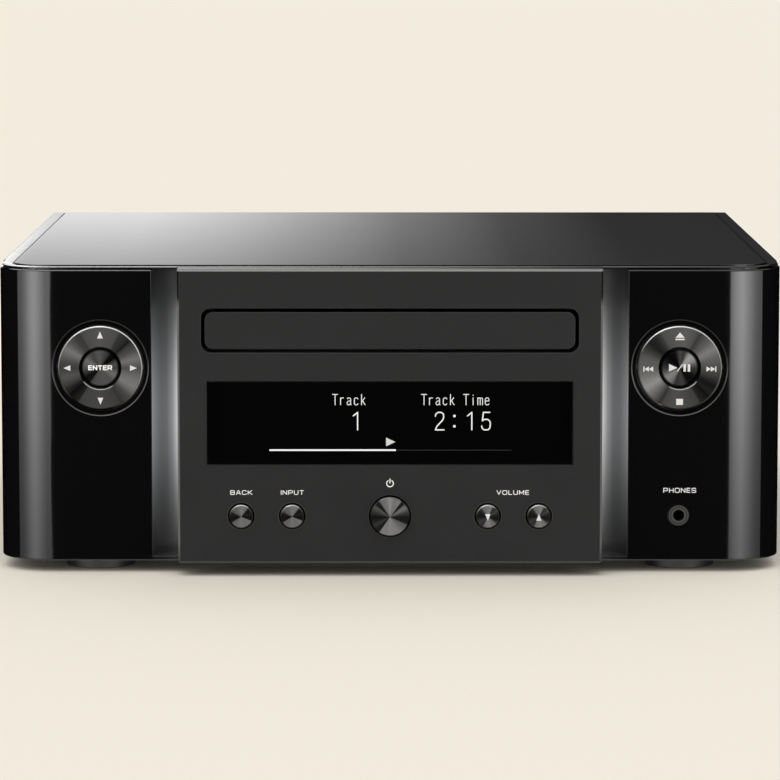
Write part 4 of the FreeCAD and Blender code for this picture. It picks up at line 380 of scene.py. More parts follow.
def cover_paint(name, plated):
    """Black paint. The cover under the plate has painted shade, dead black, in the groove, and a painted
    reflection along its front edge.
    """
    shader = surface(name, (0.006, 0.006, 0.0065), (0.05, 0.09), grain_mm=0.45, bump_mm=0.0015, round_mm=0.5,
                     edge_light_and_wear=0.2, vary=0.1)
    if plated:
        x, depth, z = shader.axes()
        out = shader.minus(shader.math("ABSOLUTE", x), GROOVE_HALF - GROOVE_R)
        ahead = shader.minus(GROOVE_FRONT + GROOVE_R, depth)
        off = shader.distance(shader.math("MAXIMUM", out, 0.0), shader.math("MAXIMUM", ahead, 0.0))
        outside = (off, GROOVE_R, GROOVE_R + 0.06)
        # A painted reflection along the rim's front edge
        rim = shader.times(shader.remap(*outside), shader.remap(z, RIM_TOP_Z - 0.42, RIM_TOP_Z - 0.32))
        front = shader.times(rim, shader.fall(depth, 12.0, 20.0))
        shader.repaint(front, shader.ramp(shader.remap(x, -SIDE_X, SIDE_X), RIM_LIGHT))
        # Painted shade: the groove round the plate is painted dead black
        groove = shader.times(shader.fall(*outside), shader.fall(depth, GROOVE_REAR, GROOVE_REAR + 0.05))
        shader.repaint(groove, grey(0.0))
        # A forward normal keeps the groove from mirroring the light behind it
        normal = shader.current("Normal").node.inputs["Normal"]
        shader.link(shader.mix(groove, normal.links[0].from_socket, (0.0, -1.0, 0.0, 1.0)), normal)
    return shader.material


def off_window(shader):
    """0 round the display's window, where the panel's edge shows no light."""
    x, _, z = shader.axes()
    near = shader.times(shader.within(x, -WINDOW_HALF - 0.9, WINDOW_HALF + 0.9),
                        shader.within(z, WINDOW_Z[0] - 0.9, WINDOW_Z[1] + 0.9))
    return shader.minus(1.0, near)


# Painted light on the panel's side chamfers: its fade at the bottom and the top, and its level
SIDE_LOW_Z = (5.0, 12.0)
SIDE_HIGH_Z = (97.5, 100.5)
SIDE_LIGHT = 0.14

# The painted reflection on the panel's top flange, from left to right
FLANGE_LIGHT = ((0.0, 0.31), (0.5, 0.2), (0.8, 0.09), (1.0, 0.04))


def panel_satin():
    """Satin paint, with a smoother top flange, painted highlights on its chamfers, round the button holes and
    above the bottom chamfer, a painted reflection on the flange, and painted shade on the bottom chamfer and
    in the flange's groove.
    """
    shader = surface("satin_panel", (0.0172, 0.0177, 0.0182), (0.36, 0.46), specular=0.15, grain_mm=0.35,
                     vary=0.05, bump_mm=0.003, round_mm=0.3, edge_light_and_wear=1.0, lit_and_worn_edge=(0.09, 0.09, 0.092),
                     keep=off_window)
    x, depth, z = shader.axes()
    away_x = shader.math("ABSOLUTE", x)

    # Painted light on the side chamfers
    side = shader.remap(away_x, PANEL_SIDE_X - 0.05, PANEL_SIDE_X + 0.05)
    tall = shader.times(shader.remap(z, *SIDE_LOW_Z, 0.3, 1.0), shader.remap(z, *SIDE_HIGH_Z, 1.0, 0.02))
    shader.repaint(side, shader.scaled((SIDE_LIGHT, SIDE_LIGHT, SIDE_LIGHT), tall))

    # Painted highlights round the button holes
    height = shader.minus(z, BUTTON_Z)
    small_hole = SMALL_R + SMALL_GAP
    holes = [(0.0, POWER_R + POWER_GAP), (SMALL_X[0], small_hole), (SMALL_X[1], small_hole)]
    for middle, hole in holes:
        away = shader.distance(shader.minus(away_x, middle), height)
        shader.repaint(shader.within(away, hole, hole + 0.32), grey(0.05))

    # A painted highlight on the top chamfer, and a painted reflection on the flange
    shader.repaint(shader.remap(z, PANEL_TOP_Z - 0.75, PANEL_TOP_Z - 0.65), grey(0.21))
    flange = shader.times(shader.remap(z, PANEL_TOP_Z - 0.1, PANEL_TOP_Z - 0.05),
                          shader.remap(depth, FLANGE_FRONT - 0.05, FLANGE_FRONT + 0.05))
    shader.repaint(flange, shader.ramp(shader.remap(x, -76.0, 76.0), FLANGE_LIGHT))
    # Painted shade on the bottom chamfer, and a painted highlight line above it
    shader.repaint(shader.fall(z, PANEL_LOW_Z + 0.7, PANEL_LOW_Z + 0.8), grey(0.001))
    line = shader.times(shader.within(z, PANEL_LOW_Z + 0.85, PANEL_LOW_Z + 1.4),
                        shader.fall(depth, PANEL_FACE + 0.1, PANEL_FACE + 0.2))
    shader.repaint(line, grey(0.06))
    # Painted shade in the flange's groove
    groove = shader.times(flange, shader.within(depth, *FLANGE_GROOVE, 0.2))
    shader.repaint(groove, grey(0.03))

    smooth = shader.minus(flange, groove)
    satin = shader.times(shader.current("Roughness"), shader.minus(1.0, smooth))
    shader.finish("Roughness", shader.plus(satin, shader.times(smooth, 0.07)))
    return shader.material


def circle(stops, level=1.0):
    """Places on a ramp for degrees that run from 180 through 270, 0 and 90."""
    return [(((at + 180.0) % 360.0) / 360.0, tone * level) for at, tone in stops]


def spun(name, x, z, stops, rim, rim_r, rim_end, arc=None):
    """Spun metal: fine turned rings, painted reflections in wedges of light round the middle, a bevel with
    its own painted highlight from rim_r to the depth rim_end, painted shade on the wall behind the bevel, and
    a painted highlight arc on the inner edge between two angles."""
    shader = Shader(name)
    dx, depth, dz = shader.axes(x, z)
    turn = shader.math("ARCTAN2", dz, dx)
    share = shader.remap(turn, -math.pi, math.pi)
    radius = shader.distance(dx, dz)
    rings = shader.node("ShaderNodeTexNoise", noise_dimensions="1D")
    shader.link(shader.times(radius, 9.0), rings.inputs["W"])
    rings.inputs["Scale"].default_value = 1.0
    rings.inputs["Detail"].default_value = 2.0
    lines = rings.outputs["Fac"]
    # Painted reflections: wedges of light by the angle round the middle
    wedges = shader.ramp(share, circle(stops))
    shader.finish("Base Color", shader.scaled(wedges, shader.remap(lines, 0.3, 0.7, 0.86, 1.14)))
    if arc:
        low, high = (math.radians(at - 360.0) for at in arc)
        # A painted highlight arc on the bore's edge
        inner = shader.fall(radius, RING_BORE_R + 0.24, RING_BORE_R + 0.32)
        shader.repaint(shader.times(inner, shader.within(turn, low, high)), grey(0.36))
    # A painted highlight on the bevel, then painted shade on the wall behind it
    bevel = shader.remap(radius, rim_r - 0.05, rim_r + 0.05)
    shader.repaint(bevel, shader.ramp(share, rim))
    shader.repaint(shader.times(bevel, shader.remap(depth, rim_end, rim_end + 0.08)), grey(0.003))
    shader.finish("Metallic", 0.35)
    shader.finish("Roughness", shader.remap(lines, 0.3, 0.7, 0.34, 0.46))
    shader.bsdf.inputs["Specular IOR Level"].default_value = 0.05
    shader.bsdf.inputs["Anisotropic"].default_value = 0.7
    step = shader.vector("SUBTRACT", shader.coordinates, tuple(place(x, 0, z))).outputs[0]
    tangent = shader.vector("CROSS_PRODUCT", step, (0.0, 1.0, 0.0)).outputs[0]
    shader.finish("Tangent", shader.vector("NORMALIZE", tangent).outputs[0])
    shader.relief(lines, 0.3, 0.004)
    return shader.material


def ink(name, colour, emit=0.0):
    """Printed or lit signs, with a slightly uneven tone. Emission lights the display, and gives the printed
    words a painted glow.
    """
    shader = Shader(name)
    grain = shader.noise(0.25, detail=2.0)
    tone = shader.mix(shader.remap(grain, 0.3, 0.7), solid(0.88 * c for c in colour), solid(colour))
    shader.finish("Base Color", tone)
    shader.finish("Roughness", shader.remap(grain, 0.3, 0.7, 0.45, 0.6))
    if emit:
        shader.finish("Emission Color", tone)
        shader.finish("Emission Strength", emit)
        shader.bsdf.inputs["Specular IOR Level"].default_value = 0.0
    return shader.material


def board(name):
    """Solder resist, with lighter traces under it."""
    shader = surface(name, (0.012, 0.085, 0.035), (0.3, 0.45), grain_mm=0.5, round_mm=0.1, edge_light_and_wear=0.4)
    lines = shader.node("ShaderNodeTexWave", wave_type="BANDS", bands_direction="DIAGONAL")
    shader.link(shader.coordinates, lines.inputs["Vector"])
    lines.inputs["Scale"].default_value = 180.0
    lines.inputs["Distortion"].default_value = 6.0
    lines.inputs["Detail"].default_value = 1.0
    shader.repaint(shader.remap(lines.outputs["Fac"], 0.72, 0.8, 0.0, 0.55), (0.03, 0.16, 0.07, 1.0))
    return shader.material


def guide(name):
    """Clear moulding that carries light up the panel's sides."""
    shader = surface(name, (0.75, 0.78, 0.8), (0.1, 0.25), grain_mm=2.0, bump_mm=0.004, round_mm=0.1)
    _, _, z = shader.axes()
    shader.finish("Emission Color", (0.95, 0.97, 1.0, 1.0))
    shader.finish("Emission Strength", shader.times(shader.bell(z, 56.0, 34.0), 0.5))
    shader.finish("Transmission Weight", 0.4)
    return shader.material


# Painted shade in the jack's mouth, then painted reflections of a turned ring round it
JACK_REACH = 4.2
JACK_STEPS = ((0.0, 0.001), (0.485, 0.001), (0.51, 0.075), (0.61, 0.075), (0.64, 0.03), (0.74, 0.03),
              (0.77, 0.065), (0.84, 0.065), (0.87, 0.01), (1.0, 0.01))


def jack():
    """A black socket, with painted reflections of a turned ring round its mouth and painted shade in the
    mouth.
    """
    shader = surface("jack_black", (0.02, 0.02, 0.021), (0.35, 0.5), specular=0.08, grain_mm=0.5, edge_light_and_wear=0.2)
    dx, depth, dz = shader.axes(RING_X, JACK_Z)
    tones = shader.ramp(shader.remap(shader.distance(dx, dz), 0.0, JACK_REACH), JACK_STEPS)
    shader.repaint(shader.fall(depth, 0.5, 0.7), tones)
    return shader.material


BRASS = (0.74, 0.55, 0.24)


def line_socket_metal():
    """Gold barrels on bosses of white and red moulding."""
    shader = surface("plated_sockets", BRASS, (0.18, 0.32), grain_mm=0.8, patch_mm=5.0, bump_mm=0.003)
    _, depth, z = shader.axes()
    boss = shader.fall(depth, REAR + SOCKET_BOSS_PROUD, REAR + SOCKET_BOSS_PROUD + 0.04)
    upper = shader.remap(z, SOCKET_ROWS_Z - 0.1, SOCKET_ROWS_Z + 0.1)
    shader.repaint(boss, shader.mix(upper, (0.42, 0.02, 0.02, 1.0), (0.62, 0.62, 0.6, 1.0)))
    shader.finish("Metallic", shader.minus(1.0, boss))
    return shader.material


def inlet():
    """Black moulding with two bare pins."""
    shader = surface("inlet_black", (0.02, 0.02, 0.021), (0.42, 0.6), grain_mm=0.5)
    dx, depth, dz = shader.axes(INLET_X, INLET_Z)
    pins = shader.times(shader.within(shader.math("ABSOLUTE", dx), *INLET_PIN_X),
                        shader.within(dz, -INLET_PIN_HALF, INLET_PIN_HALF),
                        shader.within(depth, REAR - INLET_PIN_END, REAR))
    shader.repaint(pins, (0.6, 0.58, 0.52, 1.0))
    shader.finish("Metallic", pins)
    return shader.material


# Painted light round the keys and buttons: degrees from the right through the top, and the painted tone of
# the light on the metal there, from 180 round to 180. The rims are the painted highlights on the bevels round
# the faces.
SMALL_LIGHT = (
    (180, .003), (209, .004), (215, .10), (240, .13), (270, .18), (300, .14), (336, .15), (339, .006),
    (0, .003), (15, .012), (30, .004), (50, .012), (54, .11), (75, .13), (90, .14), (105, .11),
    (120, .09), (135, .085), (150, .055), (157, .01), (179.9, .003))
VOLUME_LIGHT = (
    (180, .004), (195, .015), (210, .04), (225, .025), (243, .03), (247, .16), (270, .2), (285, .2),
    (300, .15), (318, .11), (326, .02), (345, .003), (0, .006), (15, .012), (30, .038), (45, .018),
    (62, .03), (66, .13), (75, .15), (90, .14), (105, .12), (122, .11), (130, .03), (150, .01),
    (179.9, .004))
POWER_LIGHT = (
    (180, .004), (195, .011), (210, .035), (222, .01), (235, .01), (237, .2), (255, .18), (270, .22),
    (300, .17), (315, .12), (332, .09), (338, .01), (0, .008), (15, .04), (30, .14), (38, .12),
    (43, .008), (52, .008), (55, .16), (75, .13), (90, .19), (105, .13), (122, .13), (126, .015),
    (139, .01), (143, .08), (150, .07), (165, .028), (179.9, .004))
CURSOR_LIGHT = (
    (180, .045), (195, .08), (207, .04), (213, .015), (222, .001), (236, .012), (238, .045),
    (270, .045), (299, .04), (301, .028), (315, .065), (330, .2), (342, .17), (0, .075), (15, .165),
    (27, .07), (38, .04), (43, .006), (47, .02), (60, .03), (63, .06), (90, .065), (117, .06),
    (121, .035), (130, .045), (140, .09), (150, .18), (160, .12), (170, .06), (179.9, .045))
PLAYBACK_LIGHT = (
    (180, .11), (195, .175), (210, .28), (222, .15), (233, .07), (241, .02), (244, .05), (258, .06),
    (275, .05), (299, .038), (302, .012), (317, .002), (319, .012), (332, .005), (340, .02), (350, .05),
    (0, .07), (15, .11), (30, .19), (42, .1), (60, .03), (63, .06), (78, .08), (92, .07), (117, .06),
    (120, .035), (130, .015), (140, .01), (150, .035), (165, .1), (179.9, .11))
ENTER_LIGHT = (
    (180, .06), (195, .025), (208, .008), (211, .001), (234, .004), (237, .045), (255, .07), (270, .07),
    (290, .08), (305, .075), (318, .09), (330, .14), (342, .15), (352, .09), (0, .05), (12, .075),
    (22, .05), (31, .015), (34, .0), (54, .002), (58, .025), (75, .045), (90, .065), (105, .06),
    (118, .04), (130, .055), (150, .12), (165, .09), (179.9, .06))
PLAY_LIGHT = (
    (180, .035), (195, .09), (210, .2), (225, .22), (240, .14), (250, .05), (256, .025), (270, .04),
    (285, .035), (294, .01), (303, .0), (320, .0), (335, .004), (347, .015), (0, .025), (15, .08),
    (30, .19), (45, .25), (58, .19), (66, .06), (75, .02), (90, .045), (98, .02), (108, .001),
    (135, .0), (150, .005), (165, .015), (179.9, .035))
CURSOR_RIM = (
    (180, .27), (195, .09), (210, .12), (222, .05), (230, .0), (285, .0), (298, .08), (315, .2),
    (330, .32), (345, .42), (0, .6), (15, .75), (30, .85), (45, .75), (60, .68), (90, .75), (105, .63),
    (120, .63), (135, .55), (150, .5), (165, .5), (179.9, .27))
PLAYBACK_RIM = (
    (180, .06), (200, .08), (225, .12), (238, .15), (242, .35), (247, .05), (255, .02), (285, .02),
    (300, .06), (320, .15), (340, .25), (0, .42), (15, .55), (30, .7), (60, .7), (90, .75), (120, .7),
    (135, .6), (145, .5), (152, .3), (160, .1), (179.9, .06))
SMALL_RIM = (
    (180, .02), (195, .015), (210, .02), (225, .05), (270, .06), (300, .06), (330, .08), (342, .03),
    (0, .03), (15, .03), (30, .08), (48, .08), (56, .36), (90, .38), (105, .42), (120, .36), (128, .2),
    (135, .18), (150, .16), (165, .06), (179.9, .02))
POWER_RIM = (
    (180, .01), (195, .003), (345, .003), (0, .02), (15, .07), (30, .10), (40, .06), (45, .02),
    (54, .03), (60, .15), (75, .10), (90, .14), (105, .12), (120, .11), (128, .02), (138, .02),
    (143, .06), (150, .06), (165, .03), (179.9, .01))
CURSOR_ARC = (220, 304)
PLAYBACK_ARC = (241, 320)
CENTRE_RIM = 0.6              # of the light on the face


def slot_finishes():
    """The finishes by the record's material slots."""
    made = {
        "plain_steel": surface("zinc_sheet", (0.55, 0.56, 0.58), (0.28, 0.45), metal=1.0, patch_mm=6.0,
                               grain_mm=1.2, stretch=(1.0, 9.0, 9.0), bump_mm=0.004, vary=0.16),
        "smoked_acrylic": gloss("smoked_top", (0.003, 0.003, 0.0034), 0.03),
        "window": gloss("smoked_window", (0.0012, 0.0012, 0.0013), 0.05, specular=0.3),
        "black_plastic": surface("black_moulding", (0.02, 0.02, 0.021), (0.42, 0.6), grain_mm=0.5,
                                 bump_mm=0.012),
        "grey_plastic": surface("grey_moulding", (0.16, 0.165, 0.17), (0.42, 0.58), bump_mm=0.012),
        "white_plastic": surface("white_moulding", (0.66, 0.66, 0.62), (0.35, 0.5), grain_mm=0.8,
                                 bump_mm=0.006),
        "rubber": surface("soft_rubber", (0.018, 0.018, 0.018), (0.7, 0.88), specular=0.25, grain_mm=0.4,
                          bump_mm=0.02, edge_light_and_wear=0.15),
        "bright_metal": surface("nickel_plate", (0.66, 0.65, 0.62), (0.16, 0.3), metal=1.0, grain_mm=2.0,
                                patch_mm=9.0, bump_mm=0.003),
        "gold": surface("brass_plate", BRASS, (0.18, 0.32), metal=1.0, grain_mm=0.8, patch_mm=5.0,
                        bump_mm=0.003),
        "aluminium": surface("extruded_metal", (0.5, 0.5, 0.51), (0.3, 0.45), metal=1.0, grain_mm=0.8,
                             stretch=(12.0, 0.6, 12.0), bump_mm=0.004),
        "steel_rod": surface("ground_rod", (0.55, 0.55, 0.57), (0.15, 0.3), metal=1.0, grain_mm=0.5,
                             stretch=(1.0, 1.0, 14.0), bump_mm=0.002),
        "screw_black": surface("black_zinc", (0.025, 0.025, 0.027), (0.3, 0.45), metal=0.6, grain_mm=0.4,
                               bump_mm=0.004, lit_and_worn_edge=(0.2, 0.2, 0.2)),
    }
    finishes = {slot: shader.material for slot, shader in made.items()}
    finishes["case_steel"] = cover_paint("case_paint", False)
    finishes["gloss_black"] = wing_gloss()
    finishes["panel_grey"] = panel_satin()
    finishes["clear_guide"] = guide("clear_moulding")
    finishes["board"] = board("circuit_board")
    return finishes


def node_finishes():
    """The finishes of single nodes."""
    inner, outer = SMALL_X
    small = (circle(SMALL_RIM), SMALL_R - CAP_EDGE, SMALL_FACE + CAP_BEVEL_END)
    power = (circle(POWER_RIM), POWER_R - CAP_EDGE, POWER_FACE + CAP_BEVEL_END)
    ring = (RING_R - 0.36, RING_FACE + RING_EDGE + 0.01)
    centre = (CENTRE_R - CAP_EDGE, CENTRE_FACE + CAP_BEVEL_END)
    x, z = RING_X, RING_Z
    finishes = {
        "back_button": spun("spun_back", -outer, BUTTON_Z, SMALL_LIGHT, *small),
        "input_button": spun("spun_input", -inner, BUTTON_Z, SMALL_LIGHT, *small),
        "volume_down_button": spun("spun_volume_down", inner, BUTTON_Z, VOLUME_LIGHT, *small),
        "volume_up_button": spun("spun_volume_up", outer, BUTTON_Z, VOLUME_LIGHT, *small),
        "power_button": spun("spun_power", 0, BUTTON_Z, POWER_LIGHT, *power),
        "cursor_ring": spun("spun_cursor", -x, z, CURSOR_LIGHT, circle(CURSOR_RIM), *ring, CURSOR_ARC),
        "playback_ring": spun("spun_playback", x, z, PLAYBACK_LIGHT, circle(PLAYBACK_RIM), *ring,
                              PLAYBACK_ARC),
        "enter_button": spun("spun_enter", -x, z, ENTER_LIGHT, circle(ENTER_LIGHT, CENTRE_RIM), *centre),
        "play_button": spun("spun_play", x, z, PLAY_LIGHT, circle(PLAY_LIGHT, CENTRE_RIM), *centre),
        "top_cover": cover_paint("cover_paint", True),
        "phones_jack": jack(),
        "line_sockets": line_socket_metal(),
        "ac_inlet": inlet(),
    }
    red = surface("red_cap", (0.26, 0.012, 0.012), (0.25, 0.4), grain_mm=0.6, bump_mm=0.006).material
    finishes["speaker_cap_1"] = finishes["speaker_cap_3"] = red
    return finishes


def dress_nodes():
    by_slot, by_node = slot_finishes(), node_finishes()
    slot_of = {part["node"]: part["material_slot"] for part in frame["record"]["subparts"]}
    for name, node in NODES.items():
        material = by_node.get(name) or by_slot[slot_of[name]]
        for material_slot in node.material_slots:
            material_slot.material = material


# Signs


def add(name, data):
    """A mesh, light or camera as an object in the scene."""
    made = bpy.data.objects.new(name, data)
    bpy.context.scene.collection.objects.link(made)
    return made


def printed(name, outlines, depth_at, material, body, slot, cuts=0):
    """Thin shapes from outlines in x and z, on a surface whose depth is depth_at(x, z)."""
    mesh = bpy.data.meshes.new(name)
    shape = bmesh.new()
    for outline in outlines:
        shape.faces.new([shape.verts.new((x, 0.0, z)) for x, z in outline])
    if cuts:
        bmesh.ops.triangulate(shape, faces=shape.faces)
        bmesh.ops.subdivide_edges(shape, edges=shape.edges, cuts=cuts, use_grid_fill=True)
    thick = CONE_PRINT if cuts else PRINT
    back = {}
    for vertex in shape.verts[:]:
        x, _, z = vertex.co
        back[vertex] = shape.verts.new(place(x, depth_at(x, z), z))
        vertex.co = place(x, depth_at(x, z) - thick, z)
    rim = [edge for edge in shape.edges if edge.is_boundary]
    for face in shape.faces[:]:
        shape.faces.new([back[vertex] for vertex in reversed(face.verts)])
    for edge in rim:
        first, second = edge.verts
        shape.faces.new((first, second, back[second], back[first]))
    bmesh.ops.recalc_face_normals(shape, faces=shape.faces)
    shape.to_mesh(mesh)
    shape.free()
    mesh.materials.append(material)
    piece = add(name, mesh)
    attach(piece, body)


def flat_at(depth):
    return lambda x, z: depth


def cone_at(x, z, radius, face):
    """The depth of a spun cap's front, which stands out in the middle."""
    reach = radius - CAP_EDGE - CONE_FLAT

    def depth(px, pz):
        share = max(0.0, math.hypot(px - x, pz - z) - CONE_FLAT) / reach
        return face + CONE_RISE * min(1.0, share)
    return depth


def around(x, z, radius, angle):
    """A point on a circle, with the angle in degrees."""
    turn = math.radians(angle)
    return (x + radius * math.cos(turn), z + radius * math.sin(turn))


def stroke(points, width):
    """Outlines of a line with round ends."""
    shapes = []
    half = width / 2
    for (x0, z0), (x1, z1) in zip(points, points[1:]):
        length = math.hypot(x1 - x0, z1 - z0)
        nx, nz = -(z1 - z0) / length * half, (x1 - x0) / length * half
        shapes.append([(x0 + nx, z0 + nz), (x0 - nx, z0 - nz), (x1 - nx, z1 - nz), (x1 + nx, z1 + nz)])
    for x, z in points:
        shapes.append([around(x, z, half, angle) for angle in range(0, 360, 36)])
    return shapes


def rectangle(x, z):
    return [(x[0], z[0]), (x[1], z[0]), (x[1], z[1]), (x[0], z[1])]


def triangle(x, z, half, reach, angle):
    """A triangle that points along an angle."""
    c, s = math.cos(math.radians(angle)), math.sin(math.radians(angle))
    corners = [(reach, 0), (-reach, half), (-reach, -half)]
    return [(x + a * c - b * s, z + a * s + b * c) for a, b in corners]


# Line letters of the printed words in a unit box, each with its width
CAPITALS = {
    "A": (1.0, [[(0, 0), (0.42, 1), (0.58, 1), (1, 0)], [(0.18, 0.3), (0.82, 0.3)]]),
    "B": (1.0, [[(0, 0), (0, 1), (0.75, 1), (0.95, 0.88), (0.95, 0.62), (0.75, 0.52), (0, 0.52)],
                [(0.75, 0.52), (1, 0.4), (1, 0.12), (0.8, 0), (0, 0)]]),
    "C": (1.0, [[(1, 0.8), (0.85, 1), (0.2, 1), (0, 0.8), (0, 0.2), (0.2, 0), (0.85, 0), (1, 0.2)]]),
    "E": (0.8, [[(1, 1), (0, 1), (0, 0), (1, 0)], [(0, 0.5), (0.9, 0.5)]]),
    "H": (1.0, [[(0, 0), (0, 1)], [(1, 0), (1, 1)], [(0, 0.5), (1, 0.5)]]),
    "I": (0.0, [[(0, 0), (0, 1)]]),
    "K": (1.0, [[(0, 0), (0, 1)], [(0.95, 1), (0.25, 0.5), (1, 0)], [(0, 0.5), (0.25, 0.5)]]),
    "L": (0.78, [[(0, 1), (0, 0), (1, 0)]]),
    "M": (1.15, [[(0, 0), (0, 1), (0.5, 0.25), (1, 1), (1, 0)]]),
    "N": (1.0, [[(0, 0), (0, 1), (1, 0), (1, 1)]]),
    "O": (1.1, [[(0.2, 0), (0, 0.2), (0, 0.8), (0.2, 1), (0.8, 1), (1, 0.8), (1, 0.2), (0.8, 0), (0.2, 0)]]),
    "P": (1.0, [[(0, 0), (0, 1), (0.8, 1), (1, 0.85), (1, 0.55), (0.8, 0.4), (0, 0.4)]]),
    "R": (1.0, [[(0, 0), (0, 1), (0.8, 1), (1, 0.85), (1, 0.55), (0.8, 0.4), (0, 0.4)],
                [(0.55, 0.4), (1, 0)]]),
    "S": (1.0, [[(1, 0.85), (0.85, 1), (0.15, 1), (0, 0.85), (0, 0.62), (0.12, 0.52), (0.88, 0.48), (1, 0.38),
                 (1, 0.15), (0.85, 0), (0.15, 0), (0, 0.15)]]),
    "T": (0.95, [[(0, 1), (1, 1)], [(0.5, 1), (0.5, 0)]]),
    "U": (1.0, [[(0, 1), (0, 0.2), (0.2, 0), (0.8, 0), (1, 0.2), (1, 1)]]),
    "V": (1.0, [[(0, 1), (0.5, 0), (1, 1)]]),
}
LETTER_GAP = 0.47


def word(name, text, centre_x, z_span, width, depth_at, material, body, slot, cuts=0, line=0.24):
    """A plain word in line letters, scaled to its width and height."""
    units = sum(CAPITALS[letter][0] for letter in text) + LETTER_GAP * (len(text) - 1)
    unit = (width - line) / units
    left = centre_x - (width - line) / 2
    low = z_span[0] + line / 2
    tall = z_span[1] - z_span[0] - line
    shapes = []
    for letter in text:
        wide, lines = CAPITALS[letter]
        for points in lines:
            shapes += stroke([(left + x * wide * unit, low + z * tall) for x, z in points], line)
        left += (wide + LETTER_GAP) * unit
    printed(name, shapes, depth_at, material, body, slot, cuts)


# Line letters of the display in a box LETTER_BOX wide and 1 high
LETTERS = {
    "T": [[(-0.02, 1), (0.52, 1)], [(0.25, 1), (0.25, 0)]],
    "r": [[(0.08, 0.68), (0.08, 0)], [(0.08, 0.5), (0.16, 0.62), (0.28, 0.68), (0.4, 0.66)]],
    "a": [[(0.06, 0.58), (0.14, 0.67), (0.3, 0.67), (0.4, 0.58), (0.4, 0.08), (0.44, 0)],
          [(0.4, 0.4), (0.14, 0.34), (0.03, 0.24), (0.03, 0.1), (0.12, 0), (0.26, 0.01), (0.4, 0.14)]],
    "c": [[(0.42, 0.56), (0.32, 0.67), (0.16, 0.67), (0.05, 0.55), (0.04, 0.13), (0.15, 0), (0.32, 0),
           (0.42, 0.11)]],
    "k": [[(0.06, 1), (0.06, 0)], [(0.4, 0.68), (0.07, 0.28)], [(0.17, 0.4), (0.44, 0)]],
    "i": [[(0.25, 0.68), (0.25, 0)], [(0.25, 0.9), (0.25, 0.94)]],
    "m": [[(0.0, 0.68), (0.0, 0)], [(0.0, 0.56), (0.09, 0.67), (0.19, 0.67), (0.25, 0.56), (0.25, 0)],
          [(0.25, 0.56), (0.34, 0.67), (0.43, 0.67), (0.5, 0.56), (0.5, 0)]],
    "e": [[(0.04, 0.37), (0.43, 0.37), (0.43, 0.52), (0.33, 0.67), (0.15, 0.67), (0.04, 0.53), (0.04, 0.13),
           (0.15, 0), (0.34, 0), (0.43, 0.1)]],
    "1": [[(0.06, 0.8), (0.3, 1), (0.3, 0)]],
    "2": [[(0.02, 0.78), (0.04, 0.9), (0.16, 1), (0.34, 1), (0.47, 0.9), (0.48, 0.7), (0.42, 0.56),
           (0.1, 0.2), (0.02, 0.0), (0.5, 0.0)]],
    "5": [[(0.46, 1), (0.1, 1), (0.05, 0.52), (0.16, 0.6), (0.34, 0.6), (0.46, 0.5), (0.49, 0.36),
           (0.47, 0.12), (0.36, 0.0), (0.14, 0.0), (0.03, 0.1), (0.01, 0.22)]],
}
LETTER_BOX = 0.5
LETTER_STEP = 2.52
SMALL_TYPE = (62.0, 3.75, 1.7, 0.26)      # bottom z, height, width and line of a letter
BIG_TYPE = (53.0, 6.3, 3.2, 0.42)
SMALL_LINES = (("display_track", (("Track", -20.45),)),
               ("display_track_time", (("Track", 11.3), ("Time", 26.3))))
BIG_LINES = (("display_number", (("1", -13.5),)),
             ("display_minutes", (("2", 16.1),)),
             ("display_seconds", (("1", 27.3), ("5", 32.7))))


def display_line(name, texts, size, material):
    """Texts of the display, each with its left edge."""
    low_z, tall, wide, width = size
    shapes = []
    for text, start in texts:
        for i, letter in enumerate(text):
            left = start + i * LETTER_STEP
            for line in LETTERS[letter]:
                shapes += stroke([(left + x / LETTER_BOX * wide, low_z + z * tall) for x, z in line], width)
    printed(name, shapes, flat_at(WINDOW_FACE), material, "root", "window")


def make_display():
    lit = ink("display_light", (0.80, 0.82, 0.80), emit=0.3)
    soft = ink("display_soft_light", (0.6, 0.61, 0.6), emit=0.22)
    dim = ink("display_dim_light", (0.014, 0.014, 0.014), emit=1.0)
    for lines, size in ((SMALL_LINES, SMALL_TYPE), (BIG_LINES, BIG_TYPE)):
        for name, texts in lines:
            display_line(name, texts, size, lit)
    shapes = {
        "colon": ([rectangle((22.6, 23.4), (z, z + 0.8)) for z in (53.9, 57.6)], lit),
        "play": ([triangle(0.25, 48.65, 1.55, 1.65, 0)], soft),
        "bar": ([rectangle((-43.1, 2.1), (45.42, 46.0))], lit),
        "bar_rest": ([rectangle((2.4, 43.4), (45.55, 45.85))], dim),
    }
    for name, (outlines, material) in shapes.items():
        printed("display_" + name, outlines, flat_at(WINDOW_FACE), material, "root", "window")


PANEL_WORD_Z = (29.6, 31.25)
PANEL_WORDS = (("back", -53.2, 7.9), ("input", -34.95, 8.25), ("volume", 43.95, 11.6))
POWER_SIGN_Z = 33.7
POWER_SIGN_R = 1.2
POWER_SIGN_LINE = 0.36


